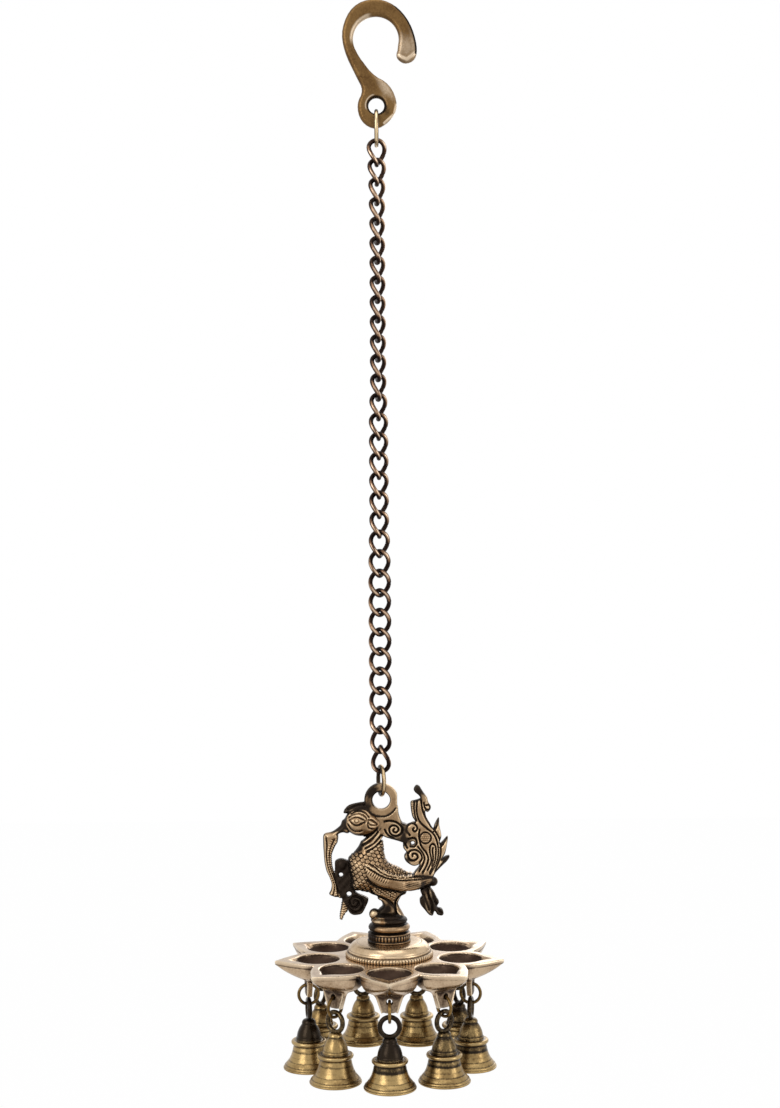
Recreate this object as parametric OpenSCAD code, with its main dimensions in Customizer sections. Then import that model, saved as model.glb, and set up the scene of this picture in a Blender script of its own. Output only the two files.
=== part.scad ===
// Hanging oil lamp in antique brass: a hook, a twisted chain and a bird figure carry a star plate
// of oil cups, and a bell with a clapper hangs under each cup.
// The origin is the centre of the hook's round seat, with +Z up and the front of the lamp toward -Y.

/* [Hook] */
// Radius of the round seat that hangs over a peg or rod
seat_r = 13; // [12:0.1:15]
// Thickness of the hook from front to back
hook_t = 5; // [4:0.1:5.4]
// Drop from the middle of the seat to the middle of the eye
eye_drop = 38; // [36:0.5:46]
// Radius of the hole in the eye
eye_r = 5.2; // [4.8:0.1:6]

/* [Rings] */
// Wire diameter of the two large rings
ring_wire = 2.4; // [2:0.1:2.6]
// Outside diameter of the ring between hook and chain
upper_ring_d = 21.5; // [20:0.1:26]
// Outside diameter of the ring between chain and bird
lower_ring_d = 18.4; // [18:0.1:24]
// Free height between a ring's wire and the hole that it hangs in
ring_play = 0.8; // [0.75:0.05:1]

/* [Chain] */
// Wire diameter of a link
link_wire = 2.6; // [2:0.1:2.8]
// Outside width of a link
link_w = 13.2; // [12:0.1:15]
// Distance from one link to the next
link_pitch = 11.16; // [10.5:0.02:13]
// Free height where one link hangs in the next
link_play = 0.35; // [0.32:0.01:0.6]

/* [Bird] */
// Drop from the middle of the bird's loop to the rim of the plate
bird_drop = 88.5; // [86:0.5:95]
// Radius of the hole in the loop on the bird's head
loop_r = 5; // [4.8:0.1:5.4]
// Thickness of the loop from front to back
loop_t = 5; // [4:0.1:5]
// Thickness of the tail plume and the other flat leaves
leaf_t = 7; // [5:0.1:9]
// Thickness of the breast
breast_t = 23; // [18:0.5:26]
// Diameter of the bird's turned foot
foot_d = 24.4; // [22:0.1:26]
// Height of the bird's turned foot over the dome
foot_h = 16.8; // [15:0.1:18]

/* [Plate and dome] */
// Radius from the lamp's axis to the tip of a petal
tip_r = 65.5; // [64:0.5:70]
// Radius from the lamp's axis to the notch between two petals
notch_r = 48.5; // [47:0.5:51]
// Thickness of the plate at its middle
plate_t = 5.5; // [5:0.1:6.5]
// Radius of an oil cup at the rim
cup_r = 12.2; // [11:0.1:12.6]
// Radius from the lamp's axis to the middle of an oil cup
cup_mid = 41; // [40.5:0.1:42]
// Depth of an oil cup
cup_depth = 8; // [6:0.1:8.4]
// Outside diameter of the dome
dome_d = 50; // [44:0.5:52]
// Height of the dome over the rim of the plate
dome_h = 8.2; // [7.8:0.1:9]
// Diameter of the threaded stem that holds the stack together
stem_d = 6; // [5:0.1:7]

/* [Bells] */
// Radius from the lamp's axis to the middle of a bell
bell_ring_r = 46.5; // [46:0.1:49]
// Wire diameter of the ring that carries a bell
bell_wire = 1.8; // [1.4:0.1:2]
// Outside diameter of the ring that carries a bell
bell_ring_d = 13; // [12.8:0.1:14]
// Diameter of a bell at its lip
lip_d = 29; // [26:0.1:29.4]
// Height of a bell from its lip to the top of its crown
bell_h = 27.8; // [26:0.1:33]
// Outside diameter of the loop on a bell
bell_loop_d = 13.4; // [12.8:0.1:14]

/* [Hidden] */
$fn = 64;
cups = 9;
links = 32;
pairs = links / 2;
axis_dx = 4;
fit = 0.15;

// Heights down the hanging line
upper_top_z = -eye_drop - eye_r + ring_wire / 2 + ring_play;
upper_mid_z = upper_top_z - (upper_ring_d - ring_wire) / 2;
upper_low_z = upper_top_z - (upper_ring_d - ring_wire);
link_a = (link_w - link_wire) / 2;
link_b = (link_pitch + link_play + link_wire) / 2;
link_twist = 45;
link_1_z = upper_low_z + (ring_wire + link_wire) / 2 + link_play - link_b;
lower_top_z = link_z(links) - link_b + (ring_wire + link_wire) / 2 + link_play;
lower_mid_z = lower_top_z - (lower_ring_d - ring_wire) / 2;
lower_low_z = lower_top_z - (lower_ring_d - ring_wire);
lower_turn = 12;
loop_z = lower_low_z + ring_wire / 2 + ring_play - loop_r;
rim_z = loop_z - bird_drop;

// Turn of the hanging chain about its own line, by link
chain_turns = [[1, 42], [3, 60], [5, 67], [13, 63], [15, 46], [20, 43], [23, 8], [29, 0], [32, -40]];

// Heights under the rim of the plate
lug_t = 3.4;
lug_w = 18;
lug_low_w = 9.2;
lug_top_z = -7.6;
lug_low_z = -20.5;
lug_play = 0.7;
lug_seat = 0.05;
lug_hole_r = bell_wire / 2 + lug_play;
lug_hole_z = -14.2;
bell_ring_top_z = lug_hole_z - lug_hole_r + bell_wire / 2 + lug_play - lug_seat;
bell_ring_low_z = bell_ring_top_z - bell_ring_d + bell_wire;
bell_loop_wire = 2.7;
bell_pivot_z = bell_ring_low_z + (bell_wire + bell_loop_wire) / 2 + link_play;
bell_loop_z = bell_pivot_z - (bell_loop_d - bell_loop_wire) / 2;
bell_loop_root = 1.2;
bell_top_z = bell_loop_z - bell_loop_d / 2 + bell_loop_root;
lip_z = bell_top_z - bell_h;
bell_k = bell_h / 27.8;
lip_r = lip_d / 2;
clapper_z = lip_z + 19.5 * bell_k;
clapper_bar = 1.4;
clapper_bar_l = 11.2;
clapper_wire = 0.9;
clapper_play = 0.4;
clapper_eye_r = clapper_bar / 2 + clapper_wire / 2 + clapper_play;
clapper_rod = 16 * bell_k;
clapper_rod_d = 1.3;
ball_r = 3.2;

// Bird, dome and stem
bird_k = bird_drop / 88.5;
loop_band = 4.7;
dome_k = dome_h / 8.2;
nut_h = 5;
stem_end = 1.5;

// Star plate: its edge halfway between a tip and a notch, and the keels under the petals
edge_dip = 0.6;
bow_r = (tip_r + notch_r) / 2 - edge_dip;
tip_t = 2;
keel_r = 16.3;
keel_lift = 5;
keel_top_z = -3;
keel_gap = 1.5;
keel_inset = 0.8;
spout_l = 17;
spout_r = 9;
cut_depth = 24;

function chain_name(k) = str("chain_links_", k < 10 ? "0" : "", k);
function link_z(i) = link_1_z - (i - 1) * link_pitch;

// Rounds off a closed outline by cutting its corners
function cut_corners(p) = [
    for (i = [0:len(p) - 1])
        let (a = p[i], b = p[(i + 1) % len(p)])
            each [a * 0.75 + b * 0.25, a * 0.25 + b * 0.75]
];
function soften(p, times = 2) = times == 0 ? p : soften(cut_corners(p), times - 1);

// A flat piece in the lamp's front plane, from an outline in x and z
module upright(thickness) {
    rotate([90, 0, 0])
        linear_extrude(thickness, center = true)
            children();
}

module wire_ring(outside, wire) {
    rotate([0, 90, 0])
        rotate_extrude()
            translate([(outside - wire) / 2, 0])
                circle(d = wire);
}

// The hook's outline keeps the seat's scale above, and moves with the eye below
function hook_point(x, z) = [
    x * seat_r / 13,
    z > -15 ? z * seat_r / 13 : z + 38 - eye_drop
];

module hook() {
    tip = [[12.1, -4], [11, -10.3], [16.1, -14.5], [22.7, -12], [23.8, -4]];
    arch = [[19.8, 9.7], [11, 20], [-1, 23.9], [-13.5, 19.4], [-19.8, 6.3], [-18.4, -6.3]];
    shank = [[-11.4, -21.1], [-7.2, -29.1]];
    lobe = [[-11.4, -37], [-9, -47], [-0.6, -51.9], [7.8, -47], [12.8, -38.2], [8.2, -25.7]];
    throat = [[-3, -19.7], [-11.2, -6.3], [0, 0]];
    outline = [for (p = concat(tip, arch, shank, lobe, throat)) hook_point(p[0], p[1])];
    color("#7a5a2e")
        upright(hook_t)
            difference() {
                polygon(soften(outline));
                circle(r = seat_r);
                translate([0, -eye_drop])
                    circle(r = eye_r);
            }
}

module upper_ring() {
    color("#b8955a")
        translate([0, 0, upper_mid_z])
            wire_ring(upper_ring_d, ring_wire);
}

module lower_ring() {
    color("#b8955a")
        translate([0, 0, lower_mid_z])
            rotate(lower_turn)
                wire_ring(lower_ring_d, ring_wire);
}

// A curb link: an oval whose two bows are twisted against each other
link_steps = 20;
link_sides = 8;
function link_spine(t) = let (f = -link_twist * cos(t)) [
    link_a * sin(t) * cos(f),
    link_a * sin(t) * sin(f),
    link_b * cos(t)
];
function unit(v) = v / norm(v);
function link_loop(t) = let (
    p = link_spine(t),
    along = unit(link_spine(t + 1) - link_spine(t - 1)),
    out = unit(p - (p * along) * along),
    side = cross(along, out)
) [
    for (s = [0:link_sides - 1])
        let (q = 360 * (s + 0.5) / link_sides)
            p + (out * cos(q) + side * sin(q)) * link_wire / 2
];

module link() {
    points = [for (j = [0:link_steps - 1]) each link_loop(360 * j / link_steps)];
    faces = [
        for (j = [0:link_steps - 1], s = [0:link_sides - 1])
            let (
                j2 = (j + 1) % link_steps,
                s2 = (s + 1) % link_sides,
                a = j * link_sides + s,
                b = j * link_sides + s2,
                c = j2 * link_sides + s2,
                d = j2 * link_sides + s
            )
                each [[a, b, c], [a, c, d]]
    ];
    polyhedron(points, faces);
}

module chain_links(k) {
    color("#6b4a34")
        for (i = [2 * k - 1, 2 * k])
            translate([0, 0, link_z(i)])
                rotate(lookup(i, chain_turns))
                    link();
}

// The lamp's own frame: its axis, with the rim of the plate at zero
module at_lamp() {
    translate([axis_dx, 0, rim_z])
        children();
}

// One cup's frame: the radius outward is -Y, and the first cup faces the front
module at_cup(k) {
    at_lamp()
        rotate(360 / cups * (k - 1))
            children();
}

// Outlines of the bird are drawn from the middle of its loop
module leaf(thickness, outline) {
    upright(thickness)
        polygon(soften(outline * bird_k));
}

module ball_at(x, z, r) {
    translate([x * bird_k, 0, z * bird_k])
        sphere(r, $fn = 32);
}

// Head, neck and body
module bird_body() {
    breast_r = breast_t / 2;
    hull() {
        ball_at(-7.5, -43, breast_r);
        ball_at(6, -45, breast_r * 0.75);
        ball_at(24, -46, 3.6 * bird_k);
    }
    hull() {
        ball_at(-6.5, -35, breast_r * 0.85);
        ball_at(-4.6, -21, 5.6 * bird_k);
    }
    hull() {
        ball_at(-14, -13, 6 * bird_k);
        ball_at(-7.5, -13, 6.6 * bird_k);
    }
    hull() {
        ball_at(-18, -13.5, 4 * bird_k);
        ball_at(-29.5, -19.5, 2.4 * bird_k);
    }
}

// Crest, bridge, plume, wing, thigh and tassel
module bird_leaves() {
    leaf(leaf_t * 0.8, [[-2, -4], [-9, 0.4], [-17, -2], [-23, -8.6], [-17, -10], [-6, -12]]);
    leaf(leaf_t, [[-2, -12], [9.2, -6], [12.5, -14], [17, -17], [16, -25], [11, -24], [5, -22], [-2, -22]]);
    leaf(leaf_t, [
        [17, -46], [18.5, -38], [12, -35.5], [11.6, -29], [13, -25], [12.4, -19], [16, -14],
        [17.2, -9], [16, 0], [21, 0.4], [17.6, 6], [20.7, 10.4], [24.2, 5.5], [27.4, 0.6],
        [29.6, -4.5], [26, -9.5], [28.3, -14.4], [33.2, -8.6], [33.4, -9.2], [34, -20.5],
        [38.4, -19.4], [38.4, -20.4], [36, -30], [39.6, -29.8], [39.4, -30.8], [31, -41], [30, -48]
    ]);
    leaf(breast_t * 0.9, [
        [-11, -35.5], [-10.5, -43.5], [-4, -49], [6, -52.4], [18, -54], [29.5, -50.6],
        [32.5, -46], [27, -43], [12, -39.6], [2, -36], [-6, -34]
    ]);
    leaf(breast_t * 0.6, [
        [-10, -47], [-8.4, -54], [0, -58], [6, -62], [6, -68], [2, -70], [4, -71.4], [14, -70.6],
        [10.5, -65], [8.6, -59], [13.5, -53], [21, -50], [5, -44]
    ]);
    leaf(leaf_t, [
        [21, -47], [20.4, -57], [26, -67.6], [29.5, -65], [36, -67], [34, -60], [32.4, -54], [31, -47]
    ]);
}

// Garland held in the beak, with the open scroll that ties it to the breast
module bird_garland() {
    leaf(leaf_t * 0.9, [
        [-33.5, -16.4], [-33.8, -28], [-33, -37], [-30, -45], [-29, -50], [-31, -56], [-22.4, -55.4],
        [-23.6, -46], [-26.4, -39], [-27.4, -32], [-26.6, -22], [-25, -16]
    ]);
    upright(leaf_t * 0.8)
        difference() {
            polygon(soften(bird_k * [
                [-14, -31], [-24, -32.4], [-28, -38], [-26.4, -46], [-26, -54], [-23.6, -60],
                [-25, -70], [-21, -68.4], [-18.4, -64], [-13.6, -67.4], [-8, -62], [-7, -53], [-11, -46]
            ]));
            translate([-23.2, -42.3] * bird_k)
                circle(1.2 * bird_k);
            translate([-18.7, -53.3] * bird_k)
                circle(1.4 * bird_k);
        }
}

// Turned foot of the bird, with the stem that runs down through dome and plate
module bird_foot() {
    profile = [
        [0, 0], [11.6, 0], [12.2, 0.8], [12.2, 4.6], [11.2, 5.3], [9.8, 5.7], [11.2, 6.6], [11.8, 8],
        [11.2, 9.6], [9.6, 10.6], [9.4, 12.8], [7.6, 15.2], [4, 16.4], [0, 16.8]
    ];
    stem_low_z = -plate_t - nut_h - stem_end;
    rotate_extrude()
        polygon([for (p = profile) [p[0] * foot_d / 24.4, dome_h + p[1] * foot_h / 16.8]]);
    translate([0, 0, stem_low_z])
        cylinder(h = dome_h + foot_h / 4 - stem_low_z, d = stem_d);
}

module bird_figure() {
    color("#8f6f45") {
        translate([0, 0, loop_z]) {
            difference() {
                union() {
                    upright(loop_t)
                        circle(r = loop_r + loop_band);
                    bird_body();
                    bird_leaves();
                    bird_garland();
                }
                upright(breast_t)
                    circle(r = loop_r);
            }
        }
        at_lamp()
            bird_foot();
    }
}

module dome() {
    bore_r = stem_d / 2 + fit;
    profile = [
        [8.5, 5.4], [5.4, 4.2], [3.6, 2], [3, 0], [0.2, 0], [0, 1.2], [0.4, 2.4], [1.4, 3], [1.6, 3.8],
        [2.6, 5.6], [4.2, 7.1], [6, 7.9], [6.6, 8.1], [12, 8.2]
    ];
    edge = [for (p = profile) [dome_d / 2 - p[0] * dome_k, p[1] * dome_k]];
    color("#c2a06a")
        at_lamp()
            rotate_extrude()
                polygon(concat([[bore_r, 5.6 * dome_k]], edge, [[bore_r, dome_h]]));
}

// Star outline of the plate, with edges that bow out a little between tip and notch
function star_point(i) = let (
    r = i % 2 == 1 ? bow_r : i % 4 == 0 ? tip_r : notch_r,
    a = -90 + i * 90 / cups
) [r * cos(a), r * sin(a)];

// Keel under one petal, turned about a line along the petal's middle and kept off its neighbours
module keel() {
    root_r = tip_r / 3;
    side_r = bow_r - keel_inset;
    half = 180 / cups - keel_gap;
    bow = 90 / cups;
    rim = [
        [-half, notch_r], [-bow, side_r], [0, tip_r - 1], [bow, side_r], [half, notch_r], [0, root_r]
    ];
    profile = [
        [0, 20], [12, 20], [14.6, 31], [16.3, 40], [15.6, 47], [12.6, 54], [9.2, 60], [6.4, 67.5], [0, 67.5]
    ];
    intersection() {
        translate([0, 0, keel_lift])
            rotate([90, 0, 0])
                rotate_extrude()
                    polygon([for (p = profile) [p[0] * keel_r / 16.3, p[1] * tip_r / 65.5]]);
        translate([0, 0, -cut_depth])
            linear_extrude(cut_depth + keel_top_z)
                polygon([for (p = rim) [p[1] * sin(p[0]), -p[1] * cos(p[0])]]);
    }
}

// An oil cup: a round bowl that narrows to a spout toward the petal's tip
module cup() {
    translate([0, -cup_mid, 0])
        rotate_extrude()
            polygon([
                [0, -cup_depth], [cup_r * 0.5, -cup_depth * 0.93], [cup_r * 0.78, -cup_depth * 0.68],
                [cup_r * 0.94, -cup_depth * 0.32], [cup_r, 0], [cup_r, 1], [0, 1]
            ]);
    translate([0, -cup_mid - cup_r / 4, cup_depth * 0.3])
        rotate([90, 0, 0])
            cylinder(h = spout_l, r1 = spout_r, r2 = spout_r / 15);
}

// Tapered lug that carries one bell's ring
module lug() {
    translate([0, -bell_ring_r, 0])
        upright(lug_t)
            difference() {
                polygon([
                    [-lug_w / 2, lug_top_z], [lug_w / 2, lug_top_z],
                    [lug_low_w / 2, lug_low_z], [-lug_low_w / 2, lug_low_z]
                ]);
                translate([0, lug_hole_z])
                    circle(r = lug_hole_r);
            }
}

// The plate's body: a star that thins toward its tips
module star_body() {
    star = [for (i = [0:4 * cups - 1]) star_point(i)];
    intersection() {
        translate([0, 0, -cut_depth])
            linear_extrude(cut_depth)
                polygon(star);
        rotate_extrude()
            polygon([
                [0, 1], [0, -plate_t], [notch_r, -plate_t], [tip_r + 1, -tip_t], [tip_r + 1, 1]
            ]);
    }
}

module lamp_plate() {
    color("#cdae7c")
        at_lamp()
            difference() {
                union() {
                    star_body();
                    for (k = [1:cups])
                        rotate(360 / cups * (k - 1)) {
                            keel();
                            lug();
                        }
                }
                for (k = [1:cups])
                    rotate(360 / cups * (k - 1))
                        cup();
                translate([0, 0, -cut_depth])
                    cylinder(h = 2 * cut_depth, d = stem_d + 2 * fit);
            }
}

module stem_nut() {
    color("#a98a52")
        at_lamp()
            translate([0, 0, -plate_t - nut_h])
                difference() {
                    cylinder(h = nut_h, d = stem_d * 1.9, $fn = 6);
                    translate([0, 0, -1])
                        cylinder(h = nut_h + 2, d = stem_d + 2 * fit);
                }
}

module bell_ring(k) {
    color("#a9863f")
        at_cup(k)
            translate([0, -bell_ring_r, (bell_ring_top_z + bell_ring_low_z) / 2])
                wire_ring(bell_ring_d, bell_wire);
}

// Outside and inside of a bell, as radius and height over the lip
module bell_section() {
    outside = [
        [lip_r - 1.4, 0], [lip_r, 0.4], [lip_r, 1.2], [lip_r - 0.6, 1.8], [lip_r - 1.6, 3.2], [11.3, 5],
        [9.9, 8], [9.1, 11], [8.7, 13.6], [9.5, 14.1], [9.8, 15], [9.6, 15.9], [7.2, 16.5], [7, 18],
        [6.4, 20.4], [5.2, 23], [4.1, 24.8], [3.7, 26], [3.2, 27.2], [2.4, 27.8], [0, 27.8]
    ];
    inside = [
        [0, 22.4], [3.6, 21.6], [4.9, 19], [5.6, 16.4], [6.8, 14], [7.4, 11], [8.3, 8], [9.9, 4.8],
        [lip_r - 3, 2.6], [lip_r - 1.8, 0]
    ];
    polygon([for (p = concat(outside, inside)) [p[0], p[1] * bell_k]]);
}

module bell(k) {
    color("#9a7a3a")
        at_cup(k)
            translate([0, -bell_ring_r, 0]) {
                translate([0, 0, lip_z])
                    rotate_extrude()
                        bell_section();
                translate([0, 0, bell_loop_z])
                    rotate(90)
                        wire_ring(bell_loop_d, bell_loop_wire);
                translate([0, 0, clapper_z])
                    rotate([0, 90, 0])
                        cylinder(h = clapper_bar_l, d = clapper_bar, center = true);
            }
}

module clapper(k) {
    color("#6f5630")
        at_cup(k)
            translate([0, -bell_ring_r, clapper_z]) {
                wire_ring(2 * clapper_eye_r + clapper_wire, clapper_wire);
                translate([0, 0, -clapper_rod])
                    cylinder(h = clapper_rod - clapper_eye_r, d = clapper_rod_d);
                translate([0, 0, -clapper_rod])
                    sphere(ball_r);
            }
}

hook();
upper_ring();
for (k = [1:pairs]) chain_links(k);
lower_ring();
bird_figure();
dome();
lamp_plate();
stem_nut();
for (k = [1:cups]) bell_ring(k);
for (k = [1:cups]) bell(k);
for (k = [1:cups]) clapper(k);
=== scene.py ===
import math

import bpy
import numpy as np
import openvdb
from mathutils import Matrix, Vector


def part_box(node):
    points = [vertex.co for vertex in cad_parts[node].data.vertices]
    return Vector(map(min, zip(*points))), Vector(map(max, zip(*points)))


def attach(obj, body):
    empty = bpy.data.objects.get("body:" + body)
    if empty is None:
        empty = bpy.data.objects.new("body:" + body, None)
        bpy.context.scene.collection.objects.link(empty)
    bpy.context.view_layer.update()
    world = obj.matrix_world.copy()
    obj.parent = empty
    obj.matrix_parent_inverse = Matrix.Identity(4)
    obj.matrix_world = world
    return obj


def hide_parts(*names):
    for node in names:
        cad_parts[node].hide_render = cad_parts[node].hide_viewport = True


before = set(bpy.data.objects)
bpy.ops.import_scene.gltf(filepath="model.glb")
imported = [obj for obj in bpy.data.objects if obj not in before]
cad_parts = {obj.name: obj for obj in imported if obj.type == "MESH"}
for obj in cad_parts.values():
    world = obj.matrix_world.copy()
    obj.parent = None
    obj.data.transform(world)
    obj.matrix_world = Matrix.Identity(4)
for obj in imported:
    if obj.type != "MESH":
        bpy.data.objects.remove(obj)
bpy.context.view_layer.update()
print("frame loaded:", len(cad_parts), "nodes")

mm = 0.001                                    # every shape below is drawn in millimetres
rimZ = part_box("lamp_plate")[1].z / mm         # rim of the plate
axisX = (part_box("lamp_plate")[0].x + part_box("lamp_plate")[1].x) / 2 / mm
loopDrop = 88.5                               # from the bird's loop down to the rim
loopZ = rimZ + loopDrop
cups = 9

# camera: level, straight at the front, a little rolled as the picture is
cameraLook = dict(distance=969.0, across=6.0, height=-293.5, lens=55.2, roll=-0.41)

camera = bpy.data.objects.new("camera", bpy.data.cameras.new("camera"))
camera.data.lens = cameraLook["lens"]
camera.data.sensor_width = 36
camera.data.clip_start = 0.05
camera.data.clip_end = 50
camera.matrix_world = (
    Matrix.Translation(Vector((cameraLook["across"], -cameraLook["distance"], cameraLook["height"])) * mm)
    @ Matrix.Rotation(math.radians(90), 4, "X")
    @ Matrix.Rotation(math.radians(cameraLook["roll"]), 4, "Z")
)
bpy.context.scene.collection.objects.link(camera)
bpy.context.scene.camera = camera


# Shader wiring: a Wire is a socket that works in plain expressions
class Wire:
    def __init__(self, finish, socket):
        self.finish = finish
        self.socket = socket

    def math(self, operation, other, swapped=False):
        pair = (other, self) if swapped else (self, other)
        return self.finish.node("ShaderNodeMath", {"operation": operation}, dict(enumerate(pair)))

    def __add__(self, other):
        return self.math("ADD", other)

    __radd__ = __add__

    def __sub__(self, other):
        return self.math("SUBTRACT", other)

    def __rsub__(self, other):
        return self.math("SUBTRACT", other, True)

    def __mul__(self, other):
        return self.math("MULTIPLY", other)

    __rmul__ = __mul__


class Finish:
    def __init__(self, name, tree=None):
        if tree is None:
            self.material = bpy.data.materials.new(name)
            self.material.use_nodes = True
            tree = self.material.node_tree
        self.tree = tree
        tree.nodes.clear()

    # any node: its settings are set first, then the values or links of its sockets
    def node(self, kind, settings=(), values=(), out=0):
        made = self.tree.nodes.new(kind)
        for key, value in dict(settings).items():
            setattr(made, key, value)
        for key, value in dict(values).items():
            if isinstance(value, Wire):
                self.tree.links.new(value.socket, made.inputs[key])
            else:
                made.inputs[key].default_value = value
        return Wire(self, made.outputs[out]) if made.outputs else None

    def blend(self, factor, first, second):
        values = {0: factor, 6: first, 7: second}
        return self.node("ShaderNodeMix", {"data_type": "RGBA"}, values, 2)

    def ease(self, value, low, high):
        settings = {"interpolation_type": "SMOOTHSTEP"}
        return self.node("ShaderNodeMapRange", settings, {"Value": value, "From Min": low, "From Max": high})

    def noise(self, place, scale, detail, rough):
        values = {"Vector": place, "Scale": scale, "Detail": detail, "Roughness": rough}
        return self.node("ShaderNodeTexNoise", {}, values)


def tone(red, green, blue):
    def linear(c):
        c = c / 255
        return c / 12.92 if c <= 0.04045 else ((c + 0.055) / 1.055) ** 2.4
    return (linear(red), linear(green), linear(blue), 1.0)


# Cast or drawn brass: clouds of tarnish, dark patina and painted shade where the mesh's hollow and stain
# attributes say so, bright worn edges and painted highlights
def brass(name, look):
    finish = Finish(name)
    place = finish.node("ShaderNodeTexCoord", out=3)
    hollowAndPaintedLight = finish.node("ShaderNodeAttribute", {"attribute_name": "hollowAndPaintedLight"}, out=2)
    stainAndPaintedShade = finish.node("ShaderNodeAttribute", {"attribute_name": "stainAndPaintedShade"}, out=2)
    cloud = finish.noise(place, look["cloud"], 4.0, 0.6)
    grain = finish.noise(place, look["grain"], 3.0, 0.6)
    speck = finish.noise(place, look["grain"] * 3.1, 2.0, 0.5)
    tarnish = finish.ease(cloud + (grain - 0.5) * 0.45, look["tarnishFrom"], look["tarnishTo"])
    metal = finish.blend(tarnish, look["bright"], look["deep"])
    # bright where the first attribute is below zero: wear on edges, and painted highlights on the hook, rings,
    # chain and parts of the bird
    wearAndPaintedShine = finish.ease(hollowAndPaintedLight * -1 + (grain - 0.5) * 0.25, look["wearShineFrom"], look["wearShineFrom"] + 0.5)
    metal = finish.blend(wearAndPaintedShine * look["wearShineAmount"], metal, look["wearAndPaintedShine"])
    # dark from hollows and stains, and painted shade on the hook, rings, chain, bird and plate
    hollowAndPaintedShade = hollowAndPaintedLight.math("MAXIMUM", -0.12)
    dirtAndPaintedShade = hollowAndPaintedShade * look["hollowShadeGain"] + stainAndPaintedShade + (grain - 0.5) * look["dirtShadeBreakup"]
    dirtAndPaintedShade = finish.ease(dirtAndPaintedShade, look["dirtShadeFrom"], look["dirtShadeTo"])
    colour = finish.blend(dirtAndPaintedShade * look["dirtShadeAmount"], metal, look["patinaAndShade"])
    pits = finish.ease(speck, 0.62, 0.78)
    colour = finish.blend(pits * look["pits"], colour, look["patinaAndShade"])
    rough = look["rough"] + dirtAndPaintedShade * look["roughDirtShade"] + tarnish * look["roughTarnish"] + (grain - 0.5) * 0.12
    height = (grain - 0.5) * 0.6 + (speck - 0.5) * 0.4
    bump = finish.node("ShaderNodeBump", {}, {"Strength": look["bump"], "Distance": 0.0003, "Height": height})
    shader = finish.node("ShaderNodeBsdfPrincipled", {}, {
        "Base Color": colour,
        "Metallic": 1 - dirtAndPaintedShade * look["dirtShadeDull"],
        "Roughness": rough,
        "Normal": bump,
    })
    finish.node("ShaderNodeOutputMaterial", {}, {"Surface": shader})
    return finish.material


# the bright worn colour also serves as painted highlight, and the dark patina colour as painted shade
plainLook = dict(
    cloud=70.0, grain=900.0, tarnishFrom=0.35, tarnishTo=0.75, wearShineFrom=0.12, wearShineAmount=0.8,
    hollowShadeGain=1.0, dirtShadeBreakup=0.25, dirtShadeFrom=0.1, dirtShadeTo=0.6, dirtShadeAmount=0.95, dirtShadeDull=0.1,
    pits=0.35, rough=0.26, roughDirtShade=0.3, roughTarnish=0.08, bump=0.12,
    bright=tone(176, 140, 92), deep=tone(120, 88, 52), wearAndPaintedShine=tone(226, 198, 152), patinaAndShade=tone(20, 13, 11),
)
finishes = {
    "hook": brass("hookBronze", dict(
        plainLook, bright=tone(120, 92, 56), deep=tone(84, 60, 35), wearAndPaintedShine=tone(214, 194, 168),
        rough=0.44, cloud=60.0, bump=0.2, wearShineFrom=0.16, wearShineAmount=0.85, dirtShadeFrom=0.2, dirtShadeTo=0.75)),
    "ring": brass("ringBrass", dict(
        plainLook, bright=tone(184, 158, 118), deep=tone(136, 108, 72), wearAndPaintedShine=tone(232, 212, 176),
        roughDirtShade=0.1)),
    "chain": brass("chainBrass", dict(
        plainLook, bright=tone(136, 106, 82), deep=tone(78, 54, 42), wearAndPaintedShine=tone(232, 206, 178),
        patinaAndShade=tone(24, 13, 11), rough=0.3, roughDirtShade=0.1, cloud=110.0)),
    "bird": brass("birdBrass", dict(
        plainLook, bright=tone(162, 134, 102), deep=tone(122, 95, 67), wearAndPaintedShine=tone(216, 190, 154),
        patinaAndShade=tone(16, 11, 11), rough=0.33, roughDirtShade=0.12, hollowShadeGain=1.5, dirtShadeFrom=0.05, dirtShadeTo=0.5)),
    "dome": brass("domeBrass", dict(
        plainLook, bright=tone(202, 177, 145), deep=tone(168, 142, 108), wearAndPaintedShine=tone(228, 208, 176), rough=0.24,
        pits=0.15, bump=0.06)),
    "plate": brass("plateBrass", dict(
        plainLook, bright=tone(194, 170, 141), deep=tone(154, 128, 101), wearAndPaintedShine=tone(226, 208, 181), rough=0.2,
        pits=0.12, bump=0.05, patinaAndShade=tone(44, 27, 20))),
    "nut": brass("nutBrass", dict(plainLook, rough=0.3)),
    "wire": brass("wireBrass", dict(plainLook, bright=tone(150, 120, 70), deep=tone(74, 54, 30))),
    "bell": brass("bellBrass", dict(
        plainLook, bright=tone(166, 140, 94), deep=tone(124, 99, 62), wearAndPaintedShine=tone(214, 192, 144),
        patinaAndShade=tone(18, 13, 14), rough=0.28, roughDirtShade=-0.04, cloud=60.0, dirtShadeBreakup=0.5, dirtShadeTo=0.65)),
    "clapper": brass("clapperBrass", dict(
        plainLook, bright=tone(120, 92, 54), deep=tone(70, 50, 28), rough=0.4)),
}
print("finishes made:", len(finishes))


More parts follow.
